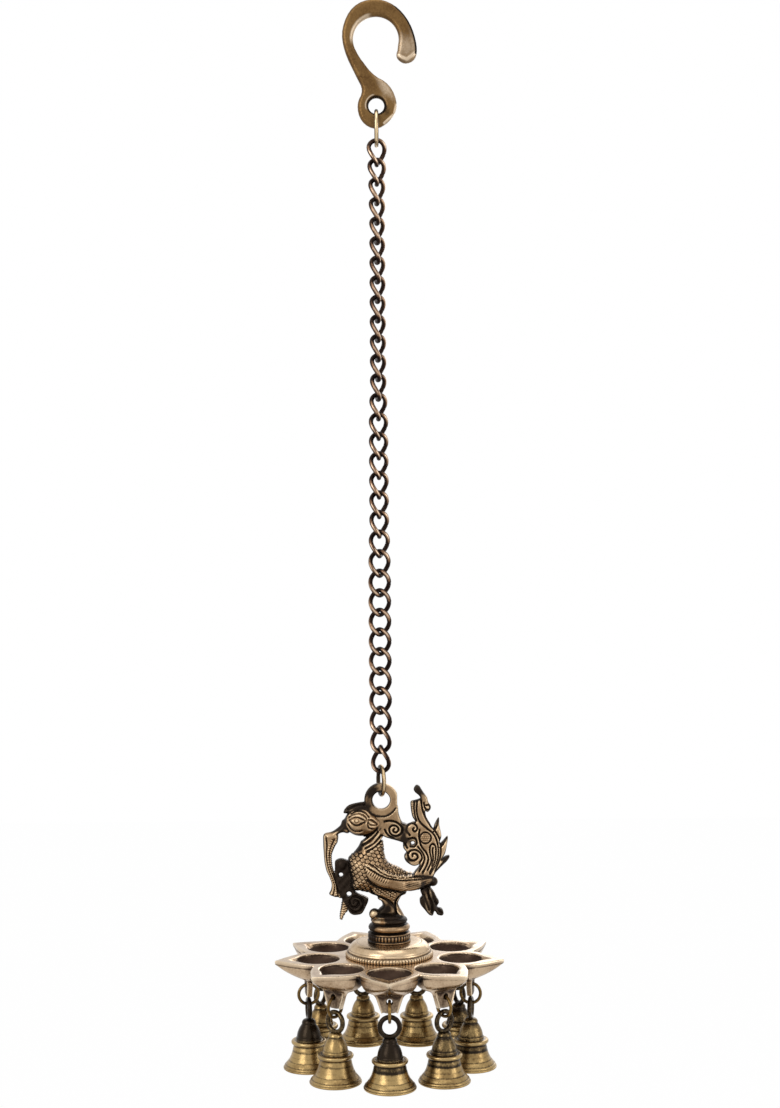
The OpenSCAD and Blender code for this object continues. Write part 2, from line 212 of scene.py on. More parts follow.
def addPiece(name, shells, body, nodes, finish, shades=None, normals=None, sharp=None):
    points, faces, start = [], [], 0
    for shellPoints, shellFaces in shells:
        shellPoints = np.asarray(shellPoints, float)
        faces += flipOut(shellPoints, shellFaces, start)
        points.append(shellPoints)
        start += len(shellPoints)
    mesh = bpy.data.meshes.new(name)
    mesh.from_pydata((np.vstack(points) * mm).tolist(), [], faces)
    mesh.polygons.foreach_set("use_smooth", np.ones(len(mesh.polygons), bool))
    for shade, values in (shades or {}).items():
        layer = mesh.attributes.new(shade, "FLOAT", "POINT")
        layer.data.foreach_set("value", np.asarray(values, np.float32))
    mesh.update()
    if sharp:
        mesh.set_sharp_from_angle(angle=math.radians(sharp))
    if normals is not None:
        mesh.normals_split_custom_set_from_vertices(normals.tolist())
    mesh.materials.append(finishes[finish])
    piece = bpy.data.objects.new(name, mesh)
    bpy.context.scene.collection.objects.link(piece)
    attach(piece, body)
    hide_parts(*nodes)


# faces as lists, turned so that the closed shell looks outward
def flipOut(points, faces, start):
    corners = np.array([(f[0], f[i], f[i + 1]) for f in faces for i in range(1, len(f) - 1)])
    a, b, c = points[corners[:, 0]], points[corners[:, 1]], points[corners[:, 2]]
    volume = np.einsum("ij,ij->i", a, np.cross(b, c)).sum()
    step = 1 if volume > 0 else -1
    return [[int(i) + start for i in f[::step]] for f in faces]


# rings of points skinned to a closed shell: the last ring joins the first, or both ends are capped
def skin(rings, loop=False):
    count, around = rings.shape[:2]
    points = rings.reshape(-1, 3)
    index = np.arange(count * around).reshape(count, around)
    low = index if loop else index[:-1]
    high = np.roll(index, -1, 0) if loop else index[1:]
    quads = np.stack([low, np.roll(low, -1, 1), np.roll(high, -1, 1), high], -1).reshape(-1, 4)
    faces = quads.tolist()
    if not loop:
        middles = [rings[0].mean(0), rings[-1].mean(0)]
        first, last = len(points), len(points) + 1
        points = np.vstack([points, middles])
        near, far = index[0], index[-1]
        faces += [[near[(i + 1) % around], near[i], first] for i in range(around)]
        faces += [[far[i], far[(i + 1) % around], last] for i in range(around)]
    return points, faces


def lathe(profile, around, wobble=None, loop=False):
    profile = np.asarray(profile, float)
    angle = np.linspace(0, 2 * math.pi, around, endpoint=False)
    radius = np.repeat(profile[:, :1], around, 1)
    if wobble is not None:
        radius = radius + wobble(angle[None, :], profile[:, 1:2])
    height = np.repeat(profile[:, 1:2], around, 1)
    return skin(np.stack([radius * np.cos(angle), radius * np.sin(angle), height], -1), loop)


# a round wire along closed points, with a fine seam where its ends meet
def wireLoop(spine, wire, sides, seamAt=None):
    ahead = np.roll(spine, -1, 0) - np.roll(spine, 1, 0)
    ahead /= np.linalg.norm(ahead, axis=1)[:, None]
    out = spine - spine.mean(0)
    out = out - (out * ahead).sum(1)[:, None] * ahead
    out /= np.linalg.norm(out, axis=1)[:, None]
    side = np.cross(ahead, out)
    turn = np.linspace(0, 2 * math.pi, sides, endpoint=False)
    radius = np.full(len(spine), wire / 2)
    if seamAt is not None:
        radius[seamAt] *= 0.9
    section = out[:, None] * np.cos(turn)[None, :, None] + side[:, None] * np.sin(turn)[None, :, None]
    return skin(spine[:, None] + section * radius[:, None, None], True)


# how squarely each point of a swept wire looks along a direction, from low to high, where the spine lets it; this
# sets painted highlights
def shineByFacing(points, spine, away, low, high, where=None):
    sides = len(points) // len(spine)
    look = points - np.repeat(spine, sides, 0)
    look = look / np.linalg.norm(look, axis=1, keepdims=True)
    share = np.clip(((look * np.repeat(away, sides, 0)).sum(1) - low) / (high - low), 0, 1)
    return share if where is None else share * np.repeat(np.clip(where, 0, 1), sides)


def circle(radius, steps, axis="x"):
    t = np.linspace(0, 2 * math.pi, steps, endpoint=False)
    flat = np.zeros_like(t)
    if axis == "x":
        return np.stack([flat, radius * np.sin(t), radius * np.cos(t)], 1)
    return np.stack([radius * np.sin(t), flat, radius * np.cos(t)], 1)


def turned(points, degrees, shift=(0, 0, 0)):
    c, s = math.cos(math.radians(degrees)), math.sin(math.radians(degrees))
    points = np.asarray(points, float)
    x, y = points[:, 0], points[:, 1]
    return np.stack([x * c - y * s, x * s + y * c, points[:, 2]], 1) + np.asarray(shift, float)


def atCup(shell, k):
    return turned(shell[0], 40 * (k - 1), (axisX, 0, rimZ)), shell[1]


def moved(shell, shift):
    return np.asarray(shell[0]) + np.asarray(shift, float), shell[1]


# cuts the corners of a line of points, ends kept
def soften(points, times=2, closed=False):
    p = np.array(points, float)
    for _ in range(times):
        a, b = (p, np.roll(p, -1, 0)) if closed else (p[:-1], p[1:])
        cut = np.stack([a * 0.75 + b * 0.25, a * 0.25 + b * 0.75], 1).reshape(-1, p.shape[1])
        p = cut if closed else np.vstack([p[:1], cut, p[-1:]])
    return p


# a smooth line through every point
def through(points, closed=False, per=5):
    p = np.array(points, float)
    if closed:
        a, b, c, d = np.roll(p, 1, 0), p, np.roll(p, -1, 0), np.roll(p, -2, 0)
    else:
        longer = np.vstack([2 * p[0] - p[1], p, 2 * p[-1] - p[-2]])
        a, b, c, d = longer[:-3], longer[1:-2], longer[2:-1], longer[3:]
    t = (np.arange(per) / per)[:, None, None]
    q = 0.5 * (2 * b + (c - a) * t + (2 * a - 5 * b + 4 * c - d) * t ** 2 + (3 * b - a - 3 * c + d) * t ** 3)
    q = q.transpose(1, 0, 2).reshape(-1, p.shape[1])
    return q if closed else np.vstack([q, p[-1:]])


# 0 to 1 as a value goes from start to end
def ramp(value, start, end):
    return np.clip((value - start) / (end - start), 0, 1)


# 1 where a value is at a place, and a soft spot of it in two directions
def hump(value, at, wide):
    return np.exp(-((value - at) / wide) ** 2)


def spot(x, z, atX, atZ, wideX, wideZ):
    return hump(x, atX, wideX) * hump(z, atZ, wideZ)


# distance from points (x, z) to a line, and how far along the line its nearest place lies
def lineGap(x, z, line, along=False):
    best = np.full(np.shape(x), 1e9, np.float32)
    place, run = np.zeros(np.shape(x)), 0.0
    for (ax, az), (bx, bz) in zip(line[:-1], line[1:]):
        ux, uz = bx - ax, bz - az
        t = np.clip(((x - ax) * ux + (z - az) * uz) / (ux * ux + uz * uz + 1e-9), 0, 1)
        gap = (x - ax - ux * t) ** 2 + (z - az - uz * t) ** 2
        if along:
            size = math.hypot(ux, uz)
            place = np.where(gap < best, run + t * size, place)
            run += size
        np.minimum(best, gap, out=best)
    return (np.sqrt(best), place) if along else np.sqrt(best)


# distance to a closed outline, less than zero inside
def outlineGap(x, z, outline):
    loop = np.vstack([outline, outline[:1]])
    inside = np.zeros(np.shape(x), bool)
    for (ax, az), (bx, bz) in zip(loop[:-1], loop[1:]):
        if az != bz:
            inside ^= ((az > z) != (bz > z)) & (x < (bx - ax) * (z - az) / (bz - az) + ax)
    gap = lineGap(x, z, loop)
    return np.where(inside, -gap, gap).astype(np.float32)


def joined(a, b, soft):
    return np.minimum(a, b) - np.maximum(soft - np.abs(a - b), 0) ** 2 / (4 * soft)


def cutBy(a, b, soft):
    return -joined(-a, b, soft)


# a solid with a rounded edge from a side gap and a face gap
def rounded(sideGap, faceGap, radius):
    a, b = sideGap + radius, faceGap + radius
    return np.sqrt(np.maximum(a, 0) ** 2 + np.maximum(b, 0) ** 2) - radius + np.minimum(np.maximum(a, b), 0)


# mesh of a field's zero surface, in millimetres
def fieldMesh(field, low, step):
    grid = openvdb.FloatGrid(5.0)
    grid.copyFromArray(np.ascontiguousarray(field, np.float32))
    index, quads = grid.convertToQuads(isovalue=0.0)
    index = np.asarray(index, float)
    return index, np.asarray(quads), index * step + np.asarray(low, float)


def sample(volume, index):
    top = np.array(volume.shape) - 2
    whole = np.clip(np.floor(index).astype(int), 0, top)
    part = np.clip(index - whole, 0, 1)
    total = np.zeros(len(index))
    for dx in (0, 1):
        for dy in (0, 1):
            for dz in (0, 1):
                weight = (np.where(dx, part[:, 0], 1 - part[:, 0]) * np.where(dy, part[:, 1], 1 - part[:, 1])
                          * np.where(dz, part[:, 2], 1 - part[:, 2]))
                total += weight * volume[whole[:, 0] + dx, whole[:, 1] + dy, whole[:, 2] + dz]
    return total


def boxBlur(volume, reach):
    for axis in range(3):
        pad = [(0, 0)] * 3
        pad[axis] = (reach + 1, reach)
        total = np.cumsum(np.pad(volume, pad, mode="edge"), axis, dtype=np.float64)
        count = volume.shape[axis]
        high = np.take(total, np.arange(2 * reach + 1, 2 * reach + 1 + count), axis)
        low = np.take(total, np.arange(0, count), axis)
        volume = ((high - low) / (2 * reach + 1)).astype(np.float32)
    return volume


# how deep in a recess each point lies: above zero in hollows, below zero on edges
def recessOf(field, index, step, reach):
    solid = np.clip(0.5 - field / step, 0, 1).astype(np.float32)
    soft = boxBlur(boxBlur(solid, reach), reach)
    return (sample(soft, index) - 0.5) * 2


# settles mesh points on a gap function's zero and gives exact normals
def settle(points, gap, nudge=0.02):
    steps = np.eye(3) * nudge
    for turn in range(3):
        slope = np.stack([(gap(points + s) - gap(points - s)) / (2 * nudge) for s in steps], 1)
        size = np.linalg.norm(slope, axis=1)[:, None] + 1e-9
        if turn < 2:
            shift = -gap(points)[:, None] * slope / size ** 2
            points = points + np.clip(shift, -0.3, 0.3)
    return points, slope / size


# hook
hookShape = dict(
    step=0.32, low=(-22.0, -3.4, -54.0), high=(26.5, 3.5, 26.0),
    thick=5.0, edge=2.3, seat=13.0, eye=4.5, eyeZ=-38.0, shoulder=(5.0, -29.0),
    # pale and dark places: x, z, reach in x and z
    paleTip=(17.5, -5, 7, 10), darkLobe=(6.2, -42, 4.2, 4.2), dimLobe=(-9, -39, 3, 6),
    tipLine=[(12.6, -9.6), (17.6, -12.0), (22.3, -8.4)],
    lobeLine=[(11.6, -37.6), (10.2, -43.0), (4.4, -48.2)],
    outline=[
        (12.1, -4), (11, -10.3), (16.1, -14.5), (22.7, -12), (23.8, -4), (19.8, 9.7), (11, 20), (-1, 23.9),
        (-13.5, 19.4), (-19.8, 6.3), (-18.4, -6.3), (-11.4, -21.1), (-7.2, -29.1), (-11.4, -37), (-9, -47),
        (-0.6, -51.9), (7.8, -47), (12.8, -38.2), (8.2, -25.7), (-3, -19.7), (-11.2, -6.3), (0, 0),
    ],
)


def hookSide(x, z, shape, outline):
    side = outlineGap(x, z, outline)
    side = cutBy(side, np.hypot(x, z) - shape["seat"], 3.0)
    return cutBy(side, np.hypot(x, z - shape["eyeZ"]) - shape["eye"], 0.4)


def makeHook(shape):
    outline = soften(shape["outline"], 2, True)
    half = shape["thick"] / 2

    def gap(p):
        return rounded(hookSide(p[..., 0], p[..., 2], shape, outline), np.abs(p[..., 1]) - half, shape["edge"])

    step = shape["step"]
    low = np.array(shape["low"])
    x, y, z = [np.arange(start, stop, step) for start, stop in zip(low, shape["high"])]
    side = hookSide(*np.meshgrid(x, z, indexing="ij"), shape, outline)
    field = rounded(side[:, None, :], np.abs(y)[None, :, None] - half, shape["edge"])
    index, quads, points = fieldMesh(field, low, step)
    hollowAndPaintedLight = recessOf(field, index, step, 3)
    points, normals = settle(points, gap)
    px, pz = points[:, 0], points[:, 2]
    rim = hookSide(px, pz, shape, outline)
    fromSeat, fromEye = np.hypot(px, pz), np.hypot(px, pz - shape["eyeZ"])
    seatTurn = np.degrees(np.arctan2(pz, px)) % 360
    eyeTurn = np.degrees(np.arctan2(pz - shape["eyeZ"], px)) % 360
    # pale: the tip and the lobe's shoulder are paler; painted reflections on the inner edges of seat and eye, and
    # two painted highlight lines
    sx, sz = px - shape["shoulder"][0], pz - shape["shoulder"][1]
    pale = 0.55 * spot(px, pz, *shape["paleTip"])
    pale += 0.58 * spot(sx * 0.58 - sz * 0.81, sx * 0.81 + sz * 0.58, 0, 0, 8.5, 3.6)
    pale += 0.55 * ramp(fromSeat, 15.4, 14.4) * ramp(seatTurn, 95, 110) * ramp(seatTurn, 200, 180)
    pale += 0.6 * hump(fromEye, 6.1, 0.5) * ramp(eyeTurn, 90, 110) * ramp(eyeTurn, 215, 195)
    pale += hump(lineGap(px, pz, shape["lobeLine"]), 0, 0.6)
    pale += 0.8 * hump(lineGap(px, pz, shape["tipLine"]), 0, 0.7)
    hollowAndPaintedLight = np.maximum(hollowAndPaintedLight, -0.1) - 0.75 * np.minimum(pale, 1.2)
    # dark: round the eye, below it and on the lobe's left it is darker; painted shade along the bow's outer edge
    stainAndPaintedShade = 0.75 * hump(fromEye, 5.0, 1.1) + 0.5 * spot(px, pz, *shape["darkLobe"])
    # painted shade along the outer right edge of the bow
    stainAndPaintedShade += 0.9 * ramp(rim, -1.7, -0.9) * ramp(px, 6, 12) * (fromSeat > 18) * (pz > -9)
    stainAndPaintedShade += 0.18 * spot(px, pz, *shape["dimLobe"])
    addPiece("hook_cast", [(points, quads.tolist())], "hook", ["hook"], "hook",
             {"hollowAndPaintedLight": hollowAndPaintedLight, "stainAndPaintedShade": stainAndPaintedShade}, normals)


makeHook(hookShape)
print("hook made")

# the two large rings
ringShape = dict(
    wire=2.4, steps=96,
    upper=dict(radius=9.55, height=-50.75, turn=0, topShade=0.7, dull=0.46),
    lower=dict(radius=8.0, height=-422.67, turn=12, topShade=0.0, dull=0.62),
)


def makeRing(shape, name):
    own = shape[name]
    spine = circle(own["radius"], shape["steps"])
    points, faces = wireLoop(spine, shape["wire"], 18, seamAt=20)
    # painted light by facing: highlight on the outward face of the wire, painted shade on its sides; painted
    # shade at the top of the upper ring, inside the hook's eye
    paintedShine = shineByFacing(points, spine, spine / own["radius"], 0.74, 0.97)
    paintedShade = own["topShade"] * ramp(points[:, 2] / own["radius"], 0.8, 0.95)
    points = turned(points, own["turn"], (0, 0, own["height"]))
    addPiece("ring_" + name, [(points, faces)], name + "_ring", [name + "_ring"], "ring",
             {"hollowAndPaintedLight": own["dull"] - paintedShine, "stainAndPaintedShade": paintedShade})


makeRing(ringShape, "upper")
makeRing(ringShape, "lower")
print("rings made")

# chain: curb links, two to a body
chainShape = dict(
    wire=2.6, halfWide=5.3, halfTall=7.055, twist=45.0, firstZ=-64.505, pitch=11.16, pairs=16, steps=72,
    turns=([1, 3, 5, 13, 15, 20, 23, 29, 32], [42, 60, 67, 63, 46, 43, 8, 0, -40]),
    dull=([6, 14], [0.52, 0.61]),
)


def makeChain(shape):
    t = np.linspace(0, 2 * math.pi, shape["steps"], endpoint=False)
    f = np.radians(-shape["twist"] * np.cos(t))
    spine = np.stack([
        shape["halfWide"] * np.sin(t) * np.cos(f),
        shape["halfWide"] * np.sin(t) * np.sin(f),
        shape["halfTall"] * np.cos(t),
    ], 1)
    shell = wireLoop(spine, shape["wire"], 14, seamAt=18)
    # painted light by facing: the inner sides get painted shade; the two faces of the chain and a line along its
    # sides get painted highlights
    toFace = np.sign(spine) * np.array([0, 1, 0])
    toSide = np.sign(spine[:, :1]) * np.array([0.87, 0.5, 0])
    paintedShine = np.maximum(
        shineByFacing(shell[0], spine, toFace, 0.72, 0.97, (np.abs(spine[:, 1]) - 0.3) / 1.2),
        shineByFacing(shell[0], spine, toSide, 0.82, 0.98, (np.abs(spine[:, 0]) - 2.6) / 1.6),
    )
    for k in range(1, shape["pairs"] + 1):
        shells, hollowAndPaintedLight = [], []
        for i in (2 * k - 1, 2 * k):
            turn = np.interp(i, *shape["turns"])
            height = shape["firstZ"] - (i - 1) * shape["pitch"]
            shells.append((turned(shell[0], turn, (0, 0, height)), shell[1]))
            hollowAndPaintedLight.append(np.interp(i, *shape["dull"]) - 1.15 * paintedShine)
        name = "chain_links_%02d" % k
        addPiece("links_%02d" % k, shells, name, [name], "chain",
                 {"hollowAndPaintedLight": np.concatenate(hollowAndPaintedLight)})


makeChain(chainShape)
print("chain made")

# bird: one casting, drawn in x and z from the middle of its loop and swelled to both sides
birdLines = {
    "head": [(-21.2, -12.0), (-19.8, -8.2), (-16.7, -5.6), (-12.6, -4.4), (-8.4, -4.9), (-5.0, -7.0),
             (-1.4, -11.0), (-0.8, -14.4), (-3.6, -17.6), (-7.0, -19.5), (-11.2, -20.4), (-15.3, -19.8),
             (-18.8, -17.6), (-20.7, -15.1)],
    "crest": [(-6.5, -2.0), (-9.6, -0.9), (-14.1, -1.4), (-18.6, -2.8), (-20.9, -5.0), (-21.6, -7.2),
              (-20.0, -7.6), (-17.5, -7.2), (-13.6, -6.4), (-10.0, -6.4), (-5.7, -8.2), (-2.5, -10.4),
              (-3.6, -4.8)],
    "beak": [(-19.1, -10.4), (-22.2, -11.4), (-23.3, -14.0), (-25.0, -15.7), (-28.1, -17.8), (-32.3, -19.2),
             (-30.9, -22.1), (-26.4, -21.8), (-24.7, -19.5), (-22.1, -18.4), (-18.8, -18.8), (-17.4, -15.2)],
    "garland": [(-32.9, -19.3), (-33.3, -24.2), (-33.0, -31.1), (-32.6, -35.6), (-31.6, -40.1), (-29.8, -44.2),
                (-28.7, -47.7), (-29.0, -50.8), (-30.1, -53.3), (-28.3, -54.8), (-25.7, -55.4), (-23.1, -55.7),
                (-23.5, -51.8), (-24.6, -48.3), (-25.7, -44.2), (-26.8, -40.8), (-27.8, -37.3), (-28.2, -32.5),
                (-27.8, -29.7), (-26.4, -26.2), (-24.9, -23.5), (-24.9, -19.3), (-28.8, -18.6)],
    "web": [(-26.7, -37.3), (-26.4, -34.5), (-23.3, -33.3), (-19.8, -34.2), (-17.4, -37.3), (-16.0, -44.9),
            (-15.3, -51.8), (-8.8, -55.3), (-7.7, -57.0), (-9.1, -60.4), (-11.3, -64.2), (-14.6, -65.3),
            (-18.0, -64.4), (-19.8, -61.5), (-22.2, -58.0), (-22.9, -55.7), (-24.6, -51.8), (-25.9, -47.0),
            (-26.7, -42.8)],
    "leaf": [(-22.9, -57.0), (-20.9, -54.9), (-18.1, -57.7), (-18.9, -62.2), (-21.4, -65.6), (-22.6, -68.2),
             (-24.3, -67.5), (-24.2, -64.2), (-23.6, -60.8)],
    "body": [(-7.7, -17.3), (-10.6, -21.3), (-11.9, -23.6), (-13.3, -26.4), (-15.3, -28.9), (-18.0, -31.2),
             (-19.4, -33.8), (-19.5, -37.3), (-19.1, -40.1), (-18.2, -42.8), (-18.5, -47.0), (-18.1, -49.2),
             (-16.0, -51.2), (-12.6, -51.6), (-8.8, -52.4), (-5.0, -52.6), (0.6, -52.6), (6.1, -52.2),
             (12.3, -52.0), (19.2, -51.6), (25.4, -50.6), (28.9, -48.7), (28.5, -45.2), (22.7, -43.7),
             (18.5, -42.3), (14.4, -40.8), (9.5, -38.0), (5.0, -36.1), (2.5, -33.3), (1.7, -29.7),
             (1.2, -24.2), (1.4, -20.0), (0.6, -15.2)],
    "wing": [(-10.2, -37.3), (-9.7, -40.4), (-8.6, -43.2), (-6.5, -46.3), (-2.2, -49.0), (4.0, -51.0),
             (11.6, -52.6), (17.8, -52.6), (24.0, -51.0), (28.5, -48.9), (28.5, -45.0), (20.0, -44.1),
             (14.0, -43.8), (8.0, -42.8), (3.0, -40.8), (-1.0, -38.8), (-5.0, -37.0), (-8.6, -36.2)],
    "thigh": [(-9.5, -44.9), (-9.1, -48.3), (-8.6, -51.2), (-6.5, -54.0), (-2.2, -56.1), (2.1, -57.9),
              (4.8, -60.2), (6.1, -62.9), (6.6, -65.6), (8.2, -68.0), (10.9, -69.1), (13.5, -69.2),
              (11.7, -65.1), (9.9, -61.9), (9.3, -59.4), (11.1, -55.9), (14.0, -53.9), (13.0, -49.0),
              (1.9, -47.0)],
    "bridge": [(-3.0, -8.6), (2.0, -8.4), (6.6, -5.2), (9.3, -3.4), (9.9, -8.0), (11.7, -12.6), (14.4, -14.0),
               (15.7, -17.3), (14.4, -24.2), (11.7, -23.9), (9.7, -23.2), (4.7, -21.8), (1.2, -20.4),
               (-2.4, -17.0)],
    "tail": [(18.9, -44.9), (18.5, -41.6), (20.7, -38.8), (21.6, -36.6), (19.2, -37.3), (16.8, -36.9),
             (13.8, -34.7), (12.8, -31.9), (14.1, -29.7), (12.4, -27.1), (12.3, -24.2), (13.8, -21.4),
             (12.8, -17.6), (14.4, -14.2), (17.8, -12.6), (19.3, -12.3), (17.5, -9.0), (16.6, -2.8),
             (17.1, -0.8), (19.8, 0.0), (22.1, 0.8), (21.6, 2.4), (19.3, 4.4), (18.5, 6.2), (19.9, 8.3),
             (21.6, 8.0), (23.0, 5.9), (24.2, 4.0), (26.1, 1.4), (26.7, -1.2), (28.2, -3.5), (27.9, -5.5),
             (26.2, -7.0), (25.1, -6.2), (25.6, -9.7), (27.5, -13.1), (29.4, -16.2), (30.4, -13.8),
             (32.7, -10.1), (33.0, -14.5), (34.1, -20.4), (33.2, -24.2), (34.4, -24.2), (37.7, -20.7),
             (37.2, -25.6), (36.1, -30.4), (34.1, -34.2), (36.1, -32.5), (38.7, -31.8), (37.5, -34.4),
             (33.0, -38.8), (29.7, -42.8), (28.9, -47.0)],
    "tassel": [(22.0, -51.1), (26.1, -49.4), (29.0, -51.5), (31.3, -55.9), (32.5, -58.2), (31.5, -60.9),
               (34.1, -62.2), (35.1, -64.6), (34.0, -65.9), (31.6, -65.3), (30.0, -63.2), (28.9, -65.8),
               (26.8, -65.3), (24.7, -63.0), (22.0, -59.5), (21.5, -56.6), (22.8, -54.6)],
    "legBack": [(-1.5, -54.6), (4.0, -55.0), (7.4, -58.6), (8.0, -63.5), (5.3, -65.8), (-1.5, -65.3),
                (-1.9, -62.2), (0.2, -60.0), (-0.4, -57.6), (-2.4, -56.2)],
}
birdGrooves = {
    "head": [
        [(-18.2, -11.7), (-16.4, -10.5), (-14.0, -10.0), (-11.5, -10.7), (-9.3, -12.1), (-11.5, -13.7),
         (-14.0, -14.5), (-16.4, -13.5), (-18.2, -11.7)],
        [(-18.4, -10.4), (-16.0, -8.6), (-12.9, -8.0), (-9.8, -9.0), (-8.3, -11.1), (-9.5, -13.1)],
        [(-17.1, -8.6), (-13.3, -6.9), (-9.1, -7.7), (-7.0, -10.0)],
        [(-18.9, -14.2), (-17.4, -16.6), (-15.0, -18.1), (-12.6, -18.2), (-11.1, -17.7)],
        [(-7.7, -11.6), (-5.5, -11.7), (-3.5, -13.1), (-2.5, -14.6), (-5.0, -14.6), (-6.9, -13.8), (-7.7, -11.6)],
        [(-7.7, -13.1), (-7.2, -15.9), (-5.0, -16.9)],
    ],
    "collar": [
        [(-10.5, -25.9), (-5.0, -22.1), (-0.1, -16.6)],
        [(-9.1, -27.6), (-3.6, -24.2), (1.2, -19.3)],
        [(-11.2, -23.5), (-6.4, -20.4), (-2.2, -16.6)],
        [(-8.2, -29.2), (-2.6, -26.0), (1.3, -22.3)],
    ],
    "crest": [[(-19.0, -5.0), (-14.6, -3.0), (-9.8, -2.5), (-5.0, -5.2)]],
    "bridge": [
        [(1.9, -12.4), (5.0, -12.1), (8.8, -13.1), (11.6, -15.9), (11.3, -19.0), (8.5, -20.7), (5.4, -19.7),
         (4.4, -16.9), (6.1, -14.8), (8.8, -15.3), (9.7, -17.3), (8.2, -18.8), (6.6, -17.8), (7.3, -16.7)],
        [(1.9, -17.3), (3.7, -20.0), (6.8, -21.8)],
    ],
    "tail": [
        [(20.4, -0.6), (20.0, -6.9), (21.6, -12.4), (25.4, -16.2), (29.6, -19.7), (31.6, -24.2), (32.3, -30.4),
         (31.1, -36.6), (27.6, -42.1)],
        [(22.7, -0.8), (23.5, -6.2), (25.4, -11.1), (28.5, -15.9)],
        [(25.4, -3.5), (27.2, -3.5), (27.5, -5.4), (26.0, -6.1), (24.7, -4.7), (24.2, -2.1)],
        [(16.1, -20.4), (14.4, -18.0), (14.7, -15.2), (17.1, -13.7), (19.5, -14.6), (20.4, -16.9),
         (19.1, -18.3), (17.8, -17.3), (18.5, -16.2)],
        [(14.7, -27.6), (13.5, -25.6), (14.4, -23.1), (16.8, -22.0), (19.2, -22.4), (20.0, -24.9),
         (18.5, -26.9), (16.4, -26.7)],
        [(21.6, -35.9), (23.0, -33.5), (22.0, -30.4), (19.2, -28.7), (16.1, -29.4), (14.9, -31.8),
         (16.1, -34.2), (18.5, -34.7), (20.4, -33.2), (19.8, -31.1), (17.8, -30.9), (17.5, -32.2)],
        [(21.6, -17.3), (21.4, -21.4), (22.7, -26.9), (25.4, -30.4), (26.5, -33.8), (25.4, -38.0), (23.3, -41.4)],
        [(20.6, -26.9), (23.3, -30.4), (24.3, -33.8), (23.2, -37.3), (21.3, -40.8)],
        [(26.1, -40.1), (28.3, -35.2), (27.5, -30.4), (27.6, -26.9), (29.1, -25.4), (30.7, -26.9),
         (30.8, -31.1), (30.1, -35.9), (27.5, -41.4)],
        [(28.5, -38.0), (29.3, -33.8), (28.9, -29.7), (29.2, -27.6)],
        [(29.6, -18.6), (31.5, -15.2), (32.5, -11.1)],
        [(33.2, -27.6), (35.4, -24.9), (37.3, -21.5)],
        [(30.3, -41.4), (34.4, -36.6), (38.0, -32.2)],
        [(29.6, -16.6), (33.0, -22.8), (33.6, -28.3), (33.0, -33.8), (30.3, -40.8)],
        [(18.9, -0.9), (18.7, -5.5), (19.3, -10.0), (20.2, -12.1)],
    ],
    "wing": [
        [(-9.1, -37.8), (-5.0, -40.4), (0.6, -43.5), (6.1, -45.2), (12.3, -46.1), (19.2, -46.1), (28.5, -45.7)],
        [(-6.0, -36.7), (-2.2, -39.7), (1.9, -42.5), (7.5, -44.3), (13.7, -45.0), (19.9, -45.0), (28.2, -44.9)],
    ],
    "thigh": [
        [(-6.7, -49.0), (-6.0, -51.8), (-4.1, -53.9), (-0.1, -55.6), (3.9, -58.0), (6.4, -60.8), (7.8, -63.2)],
        [(12.4, -53.3), (9.4, -55.6), (7.6, -58.7), (7.8, -62.9), (8.8, -65.6), (11.9, -68.8)],
    ],
    "garland": [
        [(-31.6, -20.4), (-31.1, -25.6), (-31.4, -31.1), (-30.7, -36.6), (-29.5, -40.8), (-27.9, -44.9),
         (-26.9, -49.0), (-27.8, -53.9)],
        [(-26.8, -22.1), (-29.1, -27.6), (-29.7, -32.5), (-29.3, -37.3), (-28.1, -41.4), (-26.7, -45.6),
         (-25.6, -49.7), (-24.8, -54.6)],
    ],
    "web": [
        [(-19.1, -60.1), (-17.4, -63.2), (-14.0, -63.9), (-11.2, -61.5), (-10.8, -58.0), (-13.3, -55.3),
         (-16.7, -55.6), (-18.4, -58.4), (-16.7, -61.1), (-14.3, -60.8), (-13.3, -58.7), (-15.0, -57.3),
         (-16.2, -58.6)],
    ],
    "tassel": [
        [(26.1, -51.1), (26.9, -55.9), (28.5, -60.1), (28.2, -64.6)],
        [(24.0, -54.6), (25.4, -58.7), (26.8, -62.9)],
        [(28.5, -52.5), (30.3, -58.0), (32.0, -62.2), (34.1, -64.9)],
    ],
}
